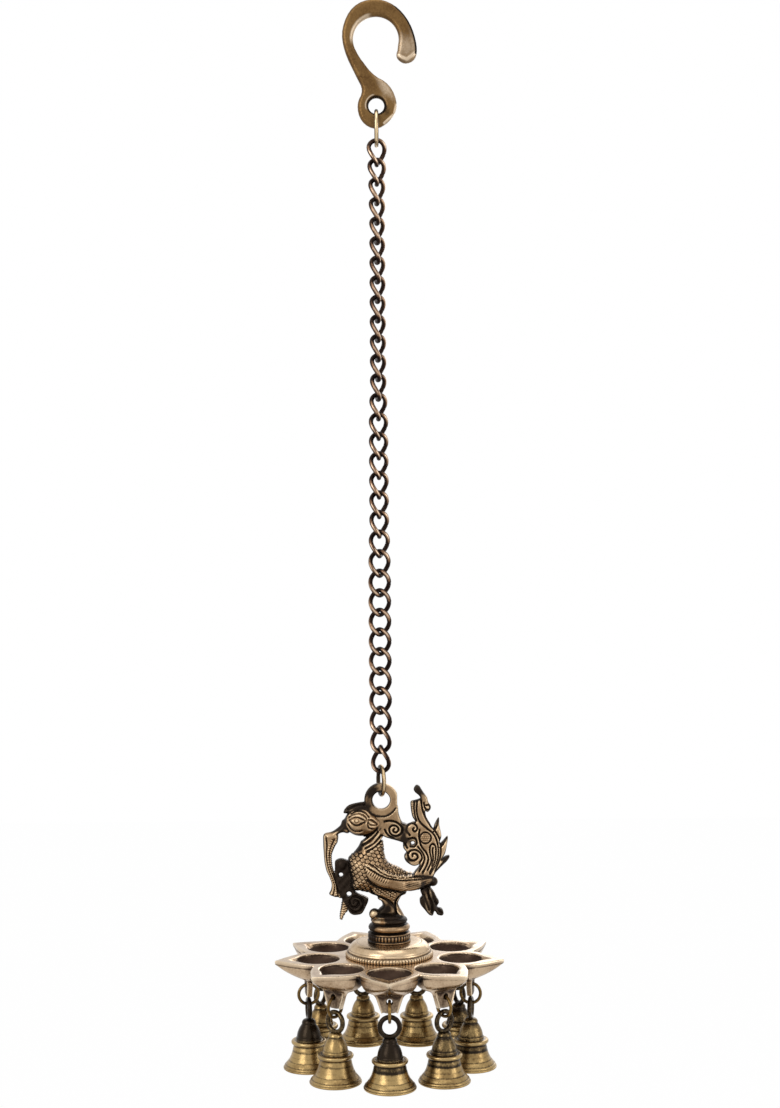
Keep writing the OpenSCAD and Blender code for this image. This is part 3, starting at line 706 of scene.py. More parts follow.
birdShape = dict(
    step=0.3, low=(-35.0, -73.0), high=(40.6, 11.6), deep=13.6, loop=9.7, hole=5.0, loopHalf=2.5, loopEnd=9.1,
    grooveWide=0.45, grooveDeep=0.75, brinkWide=1.2, brinkDeep=0.35, collarUp=1.0, collarWide=0.55,
    # a face nearer the eye is drawn higher, by a share of its own half thickness
    lift=0.155,
    faceHalf={"wing": 12, "thigh": 6, "head": 7, "tail": 3.4, "bridge": 3.2, "web": 2.4, "tassel": 3},
    # half thickness: at a few places x, z, or along z
    bodyHalf=[(-4, -18, 5.6), (-5, -29, 8.2), (-11, -42, 10.8), (-5, -40, 10.4), (5, -44, 9.6), (17, -45, 6.6),
              (28, -46, 3.4)],
    wingHalf=[(-8, -38, 12.4), (0, -43, 12.6), (9, -46, 11.2), (18, -47, 8.6), (28, -46, 4.8)],
    thighHalf=([-70, -66.5, -62, -57, -53, -48], [7.4, 6.6, 4.2, 6.6, 8.2, 9.0]),
    tailHalf=([-46, -38, -20, 0, 9], [4.2, 4.0, 3.6, 3.1, 2.6]),
    # parts that swell: reach in from the outline, half thickness where it is even, softness of the join
    swells={"body": (9.5, None, 0.5), "thigh": (2.6, None, 0.5), "legBack": (2.4, 4.6, 0.8),
            "head": (6.4, 7.8, 0.6), "crest": (2.2, 2.8, 0.5), "beak": (2.4, 3.4, 0.7),
            "garland": (2.3, 3.3, 0.5), "leaf": (1.9, 2.8, 0.4)},
    # flat parts: rounding of the edge, softness of the join
    flats={"wing": (2.0, 0.35), "web": (0.9, 0.5), "tail": (1.0, 0.6), "bridge": (1.1, 0.5),
           "tassel": (1.2, 0.5), "loop": (0.9, 0.5)},
    # knobs: x, z, radius, softness of the join; holes: x, z, radius
    knobs={"heel": (-4.2, -65.0, 3.2, 0.8), "bud": (-22.7, -36.8, 3.5, 0.5), "tailEnd": (29.2, -46.7, 2.7, 0.4)},
    holes={"tail": [(17.8, -24.5, 1.1)], "web": [(-23.2, -42.3, 1.2), (-18.7, -53.3, 1.4)]},
    # scales: size, heading, closeness of the rows
    scales={"breast": (2.9, -104, 1.5), "back": (1.9, -25), "thigh": (1.7, -70), "wing": (1.8, -18)},
    collarLow=([-18, -12, -7, 1.3], [-28.6, -28.6, -27.6, -20.6]),
    eye=(-13.9, -11.95), coin=(25.0, -21.4), coinRing=3.2,
    tailBeads=[(17.8, -1.2), (17.6, -5.5), (18.3, -10.0), (19.3, -12.1)],
    # dark places, partly dark patina and partly painted shade on lower and left edges: x, z, reach in x and z,
    # strength
    dark=[
        (-6, 5.5, 5, 5.5, 0.8), (-14.5, -3.2, 8.5, 2.6, 0.9), (-20.6, -5.6, 2.4, 2.2, 0.8),
        (8, -22, 6, 1.5, 0.4), (-24, -16, 4.5, 3, 0.7), (-21.5, -11.5, 2, 4, 0.5), (-22.5, -38, 5, 7, 0.8),
        (-19.5, -50, 4.5, 6, 0.8), (-13.5, -60, 8, 6, 0.6), (0, -62, 7, 5, 0.8), (20.5, 5, 4, 4.5, 0.9),
        (32, -61, 3.5, 7, 0.7), (22.6, -57, 1.8, 7, 0.6), (38, -33, 2.5, 3, 0.7), (14, -34.5, 3, 2.5, 0.6),
        (-12.5, -25.5, 2.4, 5, 0.7), (30, -47, 2.5, 3, 0.6), (12.5, -21, 2, 5, 0.35),
        (12.8, -16, 1.8, 5, 0.35), (16.6, -23.8, 3.2, 2.2, 0.5), (25, -42, 5, 3, 0.25), (28, -58, 6, 8, 0.2),
        (24, -48, 5, 3, 0.25), (19, -47, 9, 2.5, 0.25),
    ],
    knobShine=(-4.6, -64.6, 2.0, 1.6),
)


# half thickness between a few known places
def halfBetween(x, z, places):
    total = np.zeros(x.shape)
    weight = np.zeros(x.shape)
    for px, pz, half in places:
        w = 1 / ((x - px) ** 2 + (z - pz) ** 2 + 4) ** 2
        total += w * half
        weight += w
    return total / weight


# overlapping scales of a given size that point along a heading: 1 at each free edge
def scaleEdges(x, z, size, heading, close=1.25):
    c, s = math.cos(math.radians(heading)), math.sin(math.radians(heading))
    along, across = (x * c + z * s) / size * close, (-x * s + z * c) / size
    first = np.ceil(along - 0.8)
    edge = np.zeros(x.shape)
    done = np.zeros(x.shape, bool)
    for row in (first, first + 1, first + 2):
        shift = np.mod(row, 2) * 0.5
        off = np.mod(across + shift, 1) - 0.5
        away = np.hypot(off * 1.42, along - row)
        here = ~done & (away < 0.8)
        edge = np.where(here, np.exp(-((0.8 - away) / 0.17) ** 2), edge)
        done |= here
    return edge


def dots(x, z, size):
    row = np.round(z / size)
    u = np.mod(x / size + 0.5 * np.mod(row, 2), 1) - 0.5
    v = z / size - row
    return np.exp(-(u ** 2 + v ** 2) / 0.06)


def makeBird(shape):
    step = shape["step"]
    x = np.arange(shape["low"][0], shape["high"][0], step)
    z = np.arange(shape["low"][1], shape["high"][1], step)
    y = np.arange(0, shape["deep"], step)
    x2, z2 = [a.astype(np.float32) for a in np.meshgrid(x, z, indexing="ij")]
    depth = y[None, :, None].astype(np.float32)
    raised = {key: half * shape["lift"] for key, half in shape["faceHalf"].items()}
    gaps = {}
    for key, line in birdLines.items():
        up = raised[key] if key in ("wing", "thigh") else 0
        gaps[key] = outlineGap(x2, z2 - up, through(line, True))

    def grooveGap(key, up):
        return np.minimum.reduce([lineGap(x2, z2 - up, through(line)) for line in birdGrooves[key]])

    def grooves(key, by=1.0):
        gap = grooveGap(key, raised.get(key, 0))
        cut = hump(gap, 0, shape["grooveWide"]) * shape["grooveDeep"]
        return (cut + hump(gap, 0, shape["brinkWide"]) * shape["brinkDeep"]) * by

    # cuts between round beads along a line, and the gap to that line
    def beadCuts(line, up, pitch, at, wide):
        gap, place = lineGap(x2, z2 - up, through(line), True)
        return hump(gap, at, wide) * (0.5 - 0.5 * np.cos(place * 2 * math.pi / pitch)), gap

    def scaled(key, x=x2):
        return scaleEdges(x, z2, *shape["scales"][key])

    def pierced(key):
        drilled = [radius - np.hypot(x2 - atX, z2 - atZ) for atX, atZ, radius in shape["holes"][key]]
        return np.maximum.reduce([gaps[key], *drilled])

    # a flat picture, or one value, as a layer across the depth
    def layer(values):
        return (values + 0 * x2)[:, None, :]

    # each of these joins one more part to the casting
    def addSwelled(field, key, cut=0, half=None):
        reach, evenHalf, soft = shape["swells"][key]
        half = layer(evenHalf if half is None else half)
        inward = np.maximum(layer(gaps[key]) + reach, 0) / reach
        part = (np.sqrt(inward ** 2 + (depth / half) ** 2) - 1) * np.minimum(reach, half)
        return joined(field, part + layer(cut), soft)

    def addFlat(field, key, side, half, cut=0):
        edge, soft = shape["flats"][key]
        return joined(field, rounded(layer(side), depth - layer(half), edge) + layer(cut), soft)

    def addKnob(field, key):
        atX, atZ, radius, soft = shape["knobs"][key]
        return joined(field, np.hypot(layer(np.hypot(x2 - atX, z2 - atZ)), depth) - radius, soft)

    # body and neck: scales on neck and breast, small feathers on the back
    field = np.full((len(x), len(y), len(z)), 99, np.float32)
    onBack = ramp(x2, -1.5, 3.5) * ramp(z2, -33, -36)
    belowCollar = np.clip(np.interp(x2, *shape["collarLow"]) - z2, 0, 1)
    skinCut = (scaled("breast", x2 + 0.06 * z2) * (1 - onBack) + scaled("back") * onBack) * belowCollar * 0.7
    skinCut = skinCut * ramp(z2, -53, -51.5)
    collarCut = hump(grooveGap("collar", shape["collarUp"]), 0, shape["collarWide"])
    bodyHalf = halfBetween(x2, z2, shape["bodyHalf"])
    field = addSwelled(field, "body", skinCut + collarCut * 0.9, bodyHalf)

    # thigh and the second leg, under the wing
    thighMid = np.clip(-gaps["thigh"] - shape["swells"]["thigh"][0], 0, 1) * scaled("thigh")
    thighHalf = np.interp(z2, *shape["thighHalf"]) * np.interp(x2, [4, 14], [1, 0.7])
    thighCut = grooves("thigh", 1.2)
    field = addSwelled(field, "thigh", thighCut + thighMid * 0.4, thighHalf)
    field = addSwelled(field, "legBack")
    field = addKnob(field, "heel")

    # wing: two beaded lines, pale barbs along its front edge and small feathers above
    line = birdGrooves["wing"][0]
    beadCut, beadGap = beadCuts(line, raised["wing"], 1.15, 0, 0.55)
    line = through(line)
    under = np.interp(x2, line[:, 0], line[:, 1]) > z2 - raised["wing"]
    barbs = 1 - np.abs(np.sin((x2 * 0.86 - z2 * 0.5) * 2.3)) ** 0.6
    barbs = barbs * under * ramp(beadGap, 0.4, 0.7) * ramp(beadGap, 3.4, 2.9) * ramp(x2, 6, 2)
    strokes = (1 - np.abs(np.sin((x2 * 0.25 - z2) * 2.6)) ** 0.5) * under * ramp(x2, 7, 11)
    wingCut = grooves("wing", 0.9) + beadCut * 0.5 + barbs * 0.9 + scaled("wing") * ~under * 0.55 + strokes * 0.35
    wingHalf = halfBetween(x2, z2, shape["wingHalf"]) - 0.55 * np.exp(-np.clip(-gaps["wing"], 0, 9) / 1.2)
    field = addFlat(field, "wing", gaps["wing"], wingHalf, wingCut)

    # head with its eye, brows, mouth and ear
    eye = np.hypot(x2 - shape["eye"][0], (z2 - raised["head"] - shape["eye"][1]) * 1.1)
    headCut = np.maximum(grooves("head", 0.8), 0.5 * hump(eye, 1.25, 0.3)) - 0.25 * hump(eye, 0, 0.7)
    field = addSwelled(field, "head", headCut)
    field = addSwelled(field, "crest", grooves("crest"))
    field = addSwelled(field, "beak")

    # garland with a beaded edge, open scroll and ribbed leaf
    beadCut = beadCuts(birdGrooves["garland"][1], 0, 1.3, 0.9, 0.7)[0]
    field = addSwelled(field, "garland", grooves("garland", 0.8) + beadCut * 0.35)
    web = pierced("web")
    lump = np.sin(x2 * 1.25) * np.sin(z2 * 1.1 + 0.6) * 0.35
    field = addFlat(field, "web", web, 2.5 + lump - grooves("web"))
    field = addKnob(field, "bud")
    ribs = (0.5 + 0.5 * np.cos((z2 - 0.35 * np.abs(x2 + 22)) * 2 * math.pi / 1.35)) * 0.4
    field = addSwelled(field, "leaf", ribs)

    # tail plume, its bridge to the neck and the tassel
    tail = pierced("tail")
    coin = np.hypot(x2 - shape["coin"][0], z2 - shape["coin"][1])
    coinCut = 0.8 * hump(coin, shape["coinRing"], 0.45)
    coinCut = coinCut + np.where(coin < shape["coinRing"] - 0.4, dots(x2, z2, 1.15) * 0.6, 0)
    beadCut = beadCuts(shape["tailBeads"], 0, 1.0, 0, 0.7)[0]
    tailCut = (np.maximum(grooves("tail"), coinCut) + beadCut * 0.4) * 1.2
    tailHalf = np.interp(z2, *shape["tailHalf"]) - 0.5 * np.exp(np.minimum(tail, 8))
    field = addFlat(field, "tail", tail, tailHalf - tailCut)
    bridgeCut = grooves("bridge", 1.2)
    field = addFlat(field, "bridge", gaps["bridge"], 3.4 - bridgeCut)
    field = addKnob(field, "tailEnd")
    lump = np.sin(x2 * 1.5 + 0.4 * z2) * 0.3
    field = addFlat(field, "tassel", gaps["tassel"], 3.0 + lump - grooves("tassel"))

    # loop over the head, then its hole
    away = np.hypot(x2, z2)
    ring = np.maximum(away - shape["loop"], x2 - shape["loopEnd"])
    field = addFlat(field, "loop", ring, shape["loopHalf"])
    inLoop = rounded(layer(shape["hole"] - away), depth - shape["loopHalf"], 0.7)
    field = np.where(layer(away) < shape["loop"], np.maximum(field, inLoop), field)

    whole = np.concatenate([field[:, :0:-1], field], 1)
    low = (x[0], -y[-1], z[0])
    index, quads, points = fieldMesh(whole, low, step)
    hollowAndPaintedLight = recessOf(whole, index, step, 2) * 1.1 + recessOf(whole, index, step, 5) * 0.5
    px, pz = points[:, 0], points[:, 2]

    def flatSample(picture):
        return sample(picture[:, None, :].repeat(2, 1), np.stack([index[:, 0], 0 * px, index[:, 2]], 1))

    # dark wax left in the cuts
    onTail = (gaps["tail"] < 0) & (gaps["wing"] > 0) & (gaps["body"] > 0)
    onBridge = (gaps["bridge"] < 0) & (gaps["head"] > 0) & (gaps["body"] > 0) & ~onTail
    onSkin = (gaps["body"] < 0) & (gaps["wing"] > 0) & (gaps["head"] > 0)
    onWing = gaps["wing"] < 0
    ink = onTail * tailCut * 0.5 + onBridge * (bridgeCut * 0.5 + 0.1) + onWing * wingCut * 0.35
    onThigh = (gaps["thigh"] < 0) & ~onWing
    ink = ink + onSkin * ~onThigh * (skinCut * 0.45 + collarCut * 0.5) + onThigh * thighCut * 0.5
    ink = ink + 0.45 * np.clip(-web, 0, 1) + 0.3 * np.clip(-gaps["tassel"], 0, 1)
    wingGap = flatSample(gaps["wing"])
    # a painted shadow: a dark line just below the wing's lower edge
    stainAndPaintedShade = flatSample(ink.astype(np.float32)) + 0.8 * hump(wingGap, 0.7, 0.9) * (pz < -43)
    # dark places, partly patina and partly painted shade
    stainAndPaintedShade = stainAndPaintedShade + sum(amount * spot(px, pz, *place) for *place, amount in shape["dark"])
    # painted shade: the casting's flanks are darkened, most of all those that look down or back, and so is the
    # outline of every part
    look = np.stack([sample(whole, index + s) - sample(whole, index - s) for s in np.eye(3) * 2.5], 1)
    look = look / (np.linalg.norm(look, axis=1)[:, None] + 1e-9)
    flank = ramp(np.abs(look[:, 1]), 0.8, 0.3)
    under = np.clip(0.45 - 0.5 * look[:, 2] - 0.25 * look[:, 0], 0, 1)
    brink = np.maximum(np.minimum.reduce([*gaps.values(), away - shape["loop"]]), shape["hole"] - away)
    brink = hump(flatSample(brink.astype(np.float32)), -0.25, 0.6)
    # a painted reflection: the heel knob is made pale and the painted shade there is taken away
    paintedShine = spot(px, pz, *shape["knobShine"])
    stainAndPaintedShade = (stainAndPaintedShade + 0.75 * flank * under + brink * (0.25 + 0.45 * under)) * (1 - paintedShine)
    hollowAndPaintedLight = hollowAndPaintedLight - 0.9 * paintedShine
    points = points + np.array([0, 0, loopZ])
    addPiece("bird_cast", [(points, quads.tolist())], "lamp", ["bird_figure"], "bird",
             {"hollowAndPaintedLight": hollowAndPaintedLight, "stainAndPaintedShade": stainAndPaintedShade})
    print("bird faces:", len(quads))


makeBird(birdShape)

# turned foot of the bird: ribbed collar, bright ring and dark mound; the stem's end shows under the nut
footShape = dict(
    ribs=38, ribDeep=0.45, ribRange=(9.3, 12.6),
    profile=[
        (10.2, 8.22, 0.5), (11.6, 8.22, 0.5), (12.3, 8.5, 0.2), (12.4, 8.9, 0.1), (12.1, 9.2, 0.6),
        (11.7, 9.5, 0.6), (11.9, 10.0, 0.2), (12.1, 10.8, 0.1), (12.1, 11.6, 0.1), (11.8, 12.3, 0.3),
        (11.6, 12.6, 0.7), (12.1, 12.8, 0.2), (12.1, 13.2, 0.1), (11.3, 13.6, 0.5), (10.0, 13.8, 0.9),
        (9.7, 14.0, 1.0), (10.1, 14.3, 0.8), (11.2, 14.8, 0.1), (11.75, 15.6, -0.2), (11.85, 16.4, -0.2),
        (11.5, 17.3, 0.0), (10.7, 18.0, 0.4), (9.7, 18.4, 0.9), (9.4, 18.7, 1.0), (10.0, 19.2, 0.7),
        (10.5, 20.0, 0.6), (10.3, 20.9, 0.6), (9.4, 21.7, 0.8), (8.6, 22.2, 0.9), (8.4, 22.8, 0.7),
        (7.6, 23.6, 0.7), (5.8, 24.4, 0.7), (3.0, 24.9, 0.7), (0.6, 25.1, 0.7),
    ],
    stem=[(0.6, -12.0, 0), (2.2, -12.0, 0), (2.9, -11.4, 0), (2.4, -11.0, 0.6), (2.9, -10.6, 0),
          (2.4, -10.2, 0.6), (2.9, -9.8, 0), (2.9, -4.0, 0), (0.6, -4.0, 0)],
)


def makeFoot(shape):
    profile = soften(shape["profile"], 2)

    def ribs(angle, height):
        low, high = shape["ribRange"]
        inside = ramp(height, low, low + 0.3) * ramp(height, high, high - 0.3)
        return -shape["ribDeep"] * inside * (1 - np.abs(np.sin(angle * shape["ribs"] / 2))) ** 1.5

    around = shape["ribs"] * 8
    foot = lathe(profile, around, ribs)
    angle = np.linspace(0, 2 * math.pi, around, endpoint=False)
    ribDark = -ribs(angle[None, :], profile[:, 1:2]) / shape["ribDeep"]
    # a painted reflection as a pale patch on the mound's front, and painted shade round the left of what lies
    # below it
    turn, height = np.degrees(angle)[None, :], profile[:, 1:2]
    pale = hump(turn, 228, 20) * (height > 18.9) * (height < 22.5)
    paintedShade = ramp(turn, 236, 222) * ramp(turn, 140, 154) * (height < 18.4)
    shade = profile[:, 2:3] * 0.55 + ribDark * 0.9 + 0.45 * paintedShade - pale
    shade = np.concatenate([shade.ravel(), [0, 0]])
    stem = lathe(shape["stem"], 40)
    shade = np.concatenate([shade, np.full(len(stem[0]), 0.1)])
    shells = [moved(part, (axisX, 0, rimZ)) for part in (foot, stem)]
    addPiece("bird_foot", shells, "lamp", ["bird_figure"], "bird", {"hollowAndPaintedLight": shade})


makeFoot(footShape)
print("foot made")

# dome: turned, with a ribbed rim and two cut lines
domeShape = dict(
    ribs=84, ribDeep=0.5, ribsOut=22.8, ribsTop=2.5,
    profile=[
        (3.3, 5.6, 0), (16.5, 5.4, 0), (19.6, 4.2, 0), (21.4, 2.0, 0), (22, 0.02, 0), (23.6, 0.02, 0.4),
        (24.6, 0.02, 0.3), (25.0, 0.4, 0.0), (25.05, 1.1, 0), (24.95, 1.8, 0), (24.5, 2.3, 0.2),
        (23.9, 2.55, 0.8), (23.6, 2.7, 1.0), (23.55, 2.9, 0.7), (23.65, 3.2, 0), (23.55, 3.7, 0),
        (23.35, 4.05, 0.2), (23.1, 4.2, 0.9), (23.1, 4.35, 0.3), (22.8, 5.0, 0), (22.1, 6.0, 0),
        (21.2, 6.9, 0), (20.3, 7.5, 0), (19.4, 7.85, 0), (18.8, 7.98, 0.2), (18.5, 7.9, 0.9),
        (18.2, 7.98, 0.3), (17.6, 8.08, 0), (15.5, 8.18, 0), (13, 8.2, 0.1), (10, 8.2, 0.7), (3.3, 8.2, 0.7),
    ],
)


def makeDome(shape):
    profile = np.array(shape["profile"])
    profile = soften(np.vstack([profile, profile[:1]]), 1)[:-1]
    outer = profile[:, 0:1] > shape["ribsOut"]

    def ribs(angle, height):
        onRim = outer * ramp(height, shape["ribsTop"], shape["ribsTop"] - 0.4)
        return -shape["ribDeep"] * onRim * (1 - np.abs(np.sin(angle * shape["ribs"] / 2))) ** 1.4

    around = shape["ribs"] * 8
    shell = lathe(profile, around, ribs, True)
    angle = np.linspace(0, 2 * math.pi, around, endpoint=False)
    ribDark = -ribs(angle[None, :], profile[:, 1:2]) / shape["ribDeep"]
    shade = (profile[:, 2:3] * 0.6 + ribDark * 0.7 - 0.05).ravel()
    addPiece("dome_turned", [moved(shell, (axisX, 0, rimZ))], "lamp", ["dome"], "dome",
             {"hollowAndPaintedLight": shade})


makeDome(domeShape)
print("dome made")

# plate: nine boat-shaped petals with a cup and a lug each
plateShape = dict(
    step=0.5, low=(-67.2, -67.2, -22.2), high=(67.4, 2.2), cupMid=41.0, cupR=12.2, cupDeep=8.0,
    # half of a petal's rim: radius and degrees from its tip to the notch, then inward across and along
    tip=65.5, rimRays=[(65.5, 0), (61.0, 4.6), (56.4, 10), (51.9, 15.4), (48.5, 20)],
    inward=[(14.4, 40), (11.6, 32), (7.0, 25.5), (0.3, 22)], root=22,
    thickAt=([0, 42, 48, 65.5], [5.5, 5.5, 1.9, 1.7]),
    keelAt=[20, 31, 40, 47, 54, 60, 63.5, 66], keelDeep=[7.0, 9.8, 11.8, 11.4, 9.0, 6.0, 3.6, 1.8],
    keelRound=2.9, spoutFrom=44.0, spoutTo=61.5, spoutRun=17.0, spoutMid=2.4, spoutWide=(9.0, 0.6),
    lugAt=46.5, lugHalf=1.7, lugLow=-20.5, lugTop=-7.6, lugWide=(4.6, 9.0), hole=1.6, holeZ=-14.2,
)


def plateGap(shape):
    edge = through([(radius * math.sin(math.radians(turn)), radius * math.cos(math.radians(turn)))
                    for radius, turn in shape["rimRays"]], per=3)
    edgeAngle = np.arctan2(edge[:, 0], edge[:, 1])
    edgeRadius = np.hypot(edge[:, 0], edge[:, 1])
    inner = through([edge[-2], *shape["inward"]], per=3)
    hull = np.vstack([edge[:-2], inner])[::-1]
    keelLine = through(list(zip(shape["keelAt"], shape["keelDeep"])))

    def gap(p):
        x, y, z = p[..., 0], p[..., 1], p[..., 2]
        radius = np.hypot(x, y)
        angle = np.abs(np.mod(np.arctan2(x, -y) + math.pi / cups, 2 * math.pi / cups) - math.pi / cups)
        u, v = radius * np.sin(angle), radius * np.cos(angle)
        side = lineGap(u, v, edge)
        side = np.where(radius < np.interp(angle, edgeAngle, edgeRadius), -side, side)
        thick = np.interp(radius, *shape["thickAt"])
        solid = rounded(side, np.abs(z + thick / 2) - thick / 2, 0.7)
        # the hull under each petal: as wide as the petal at the rim, round below, rising to the tip
        wide = np.maximum(np.interp(v, hull[:, 1], hull[:, 0]), 0.3)
        deep = np.interp(v, keelLine[:, 0], keelLine[:, 1])
        power = shape["keelRound"]
        keel = ((u / wide) ** power + np.abs(np.minimum(z, 0) / deep) ** power) ** (1 / power) - 1
        keel = keel * np.minimum(wide, deep) * 0.8
        keel = np.maximum(np.maximum(keel, z + 0.4), np.maximum(shape["root"] - v, v - shape["tip"]))
        solid = joined(solid, keel, 0.6)
        # lug, flared into the keel
        t = np.clip((z - shape["lugLow"]) / (shape["lugTop"] - shape["lugLow"]), 0, 1.1)
        half = shape["lugWide"][0] + (shape["lugWide"][1] - shape["lugWide"][0]) * t
        lug = rounded(np.maximum(u - half, shape["lugLow"] - z), np.maximum(
            np.abs(v - shape["lugAt"]) - shape["lugHalf"], z + 5), 0.6)
        lug = lug + 0.35 * hump(half - u, 1.5, 0.8) * np.clip(1.2 - t, 0, 1)
        solid = joined(solid, lug, 1.6)
        solid = cutBy(solid, np.hypot(u, z - shape["holeZ"]) - shape["hole"], 0.3)
        # cup and spout
        away = np.hypot(u, v - shape["cupMid"])
        cup = np.sqrt((away / shape["cupR"]) ** 2 + (np.minimum(z, 0) / shape["cupDeep"]) ** 2) - 1
        cup = cup * shape["cupDeep"]
        along = np.clip((v - shape["spoutFrom"]) / shape["spoutRun"], 0, 1.1)
        wide, narrow = shape["spoutWide"]
        spout = (np.hypot(u, z - shape["spoutMid"]) - (wide - (wide - narrow) * along)) * 0.9
        spout = np.maximum(spout, np.maximum(shape["spoutFrom"] - v, v - shape["spoutTo"]))
        cup = joined(cup, spout, 1.6)
        return cutBy(solid, cup, 0.8)

    return gap


def makePlate(shape):
    gap = plateGap(shape)
    step = shape["step"]
    low = np.array(shape["low"])
    side = np.arange(low[0], shape["high"][0], step)
    tall = np.arange(low[2], shape["high"][1], step)
    field = np.empty((len(side), len(side), len(tall)), np.float32)
    for i, x in enumerate(side):
        y2, z2 = np.meshgrid(side, tall, indexing="ij")
        field[i] = gap(np.stack([np.full(y2.shape, x), y2, z2], -1))
    index, quads, points = fieldMesh(field, low, step)
    hollowAndPaintedLight = recessOf(field, index, step, 3)
    points, normals = settle(points, gap)
    px, pz, up = points[:, 0], points[:, 2], normals[:, 2]
    radius = np.hypot(px, points[:, 1])
    angle = np.mod(np.arctan2(px, -points[:, 1]) + math.pi / cups, 2 * math.pi / cups) - math.pi / cups
    u, v = radius * np.sin(angle), radius * np.cos(angle)
    # soot and oil inside the cups, darker low down
    inCup = (np.hypot(u, v - shape["cupMid"]) < shape["cupR"] + 0.3) & (up > -0.3) & (pz < -0.4) & (pz > -8.4)
    spout = (np.abs(u) < 8) & (v > shape["spoutFrom"]) & (v < 62) & (up > 0.1) & (pz < -0.5)
    stainAndPaintedShade = np.where(inCup, np.clip(0.42 - pz * 0.06, 0, 0.85), 0)
    stainAndPaintedShade = np.where(spout & ~inCup, 0.25, stainAndPaintedShade)
    # on the hulls: darker in the valleys between petals; painted shade in a line under the rim and on the duller
    # petals at the two sides
    outside = up < 0.3
    stainAndPaintedShade = stainAndPaintedShade + 0.55 * ramp(np.degrees(np.abs(angle)), 14, 19) * outside
    stainAndPaintedShade = stainAndPaintedShade + 0.5 * hump(pz, -2.3, 0.35) * (radius > 46) * outside
    stainAndPaintedShade = stainAndPaintedShade + 0.2 * ramp(np.abs(px), 40, 52) * outside
    # a dark field inside each lug's border, and painted shade on the underside elsewhere
    onLug = (np.abs(v - shape["lugAt"]) < 2.2) & (pz < -11)
    lugHalf = np.interp(pz, [shape["lugLow"], shape["lugTop"]], shape["lugWide"])
    under = np.clip(-up - 0.4, 0, 0.5) * 0.4
    stainAndPaintedShade = stainAndPaintedShade + np.where(onLug, 0.5 * ramp(lugHalf - np.abs(u), 0.7, 1.3), under)
    addPiece("petal_plate", [(points + np.array([axisX, 0, rimZ]), quads.tolist())], "lamp", ["lamp_plate"],
             "plate", {"hollowAndPaintedLight": hollowAndPaintedLight - 0.03, "stainAndPaintedShade": stainAndPaintedShade}, normals)
    print("plate faces:", len(quads))


makePlate(plateShape)

# nut under the plate
nutShape = dict(
    across=9.9, hole=3.15, low=-10.48, high=-5.52, around=96,
    chamfer=[(0, 0), (0.13, 0.3), (0.58, 0.8), (0.98, 2)],    # in from a face, and room past the flats
)


def makeNut(shape):
    turn = np.linspace(0, 2 * math.pi, shape["around"], endpoint=False)
    half = shape["across"] / 2
    flat = half / np.cos(np.mod(turn + math.pi / 6, math.pi / 3) - math.pi / 6)
    rows = [(shape["low"] + inset, np.minimum(flat, half + room)) for inset, room in shape["chamfer"]]
    rows += [(shape["high"] - inset, np.minimum(flat, half + room)) for inset, room in shape["chamfer"][::-1]]
    rows += [(shape["high"], shape["hole"]), (shape["low"], shape["hole"])]
    rings = [np.stack([radius * np.cos(turn), radius * np.sin(turn), 0 * turn + height], 1)
             for height, radius in rows]
    shell = skin(np.array(rings), True)
    addPiece("nut_hex", [moved(shell, (axisX, 0, rimZ))], "lamp", ["stem_nut"], "nut",
             {"hollowAndPaintedLight": np.full(len(shell[0]), 0.02)}, sharp=35)


makeNut(nutShape)
print("nut made")

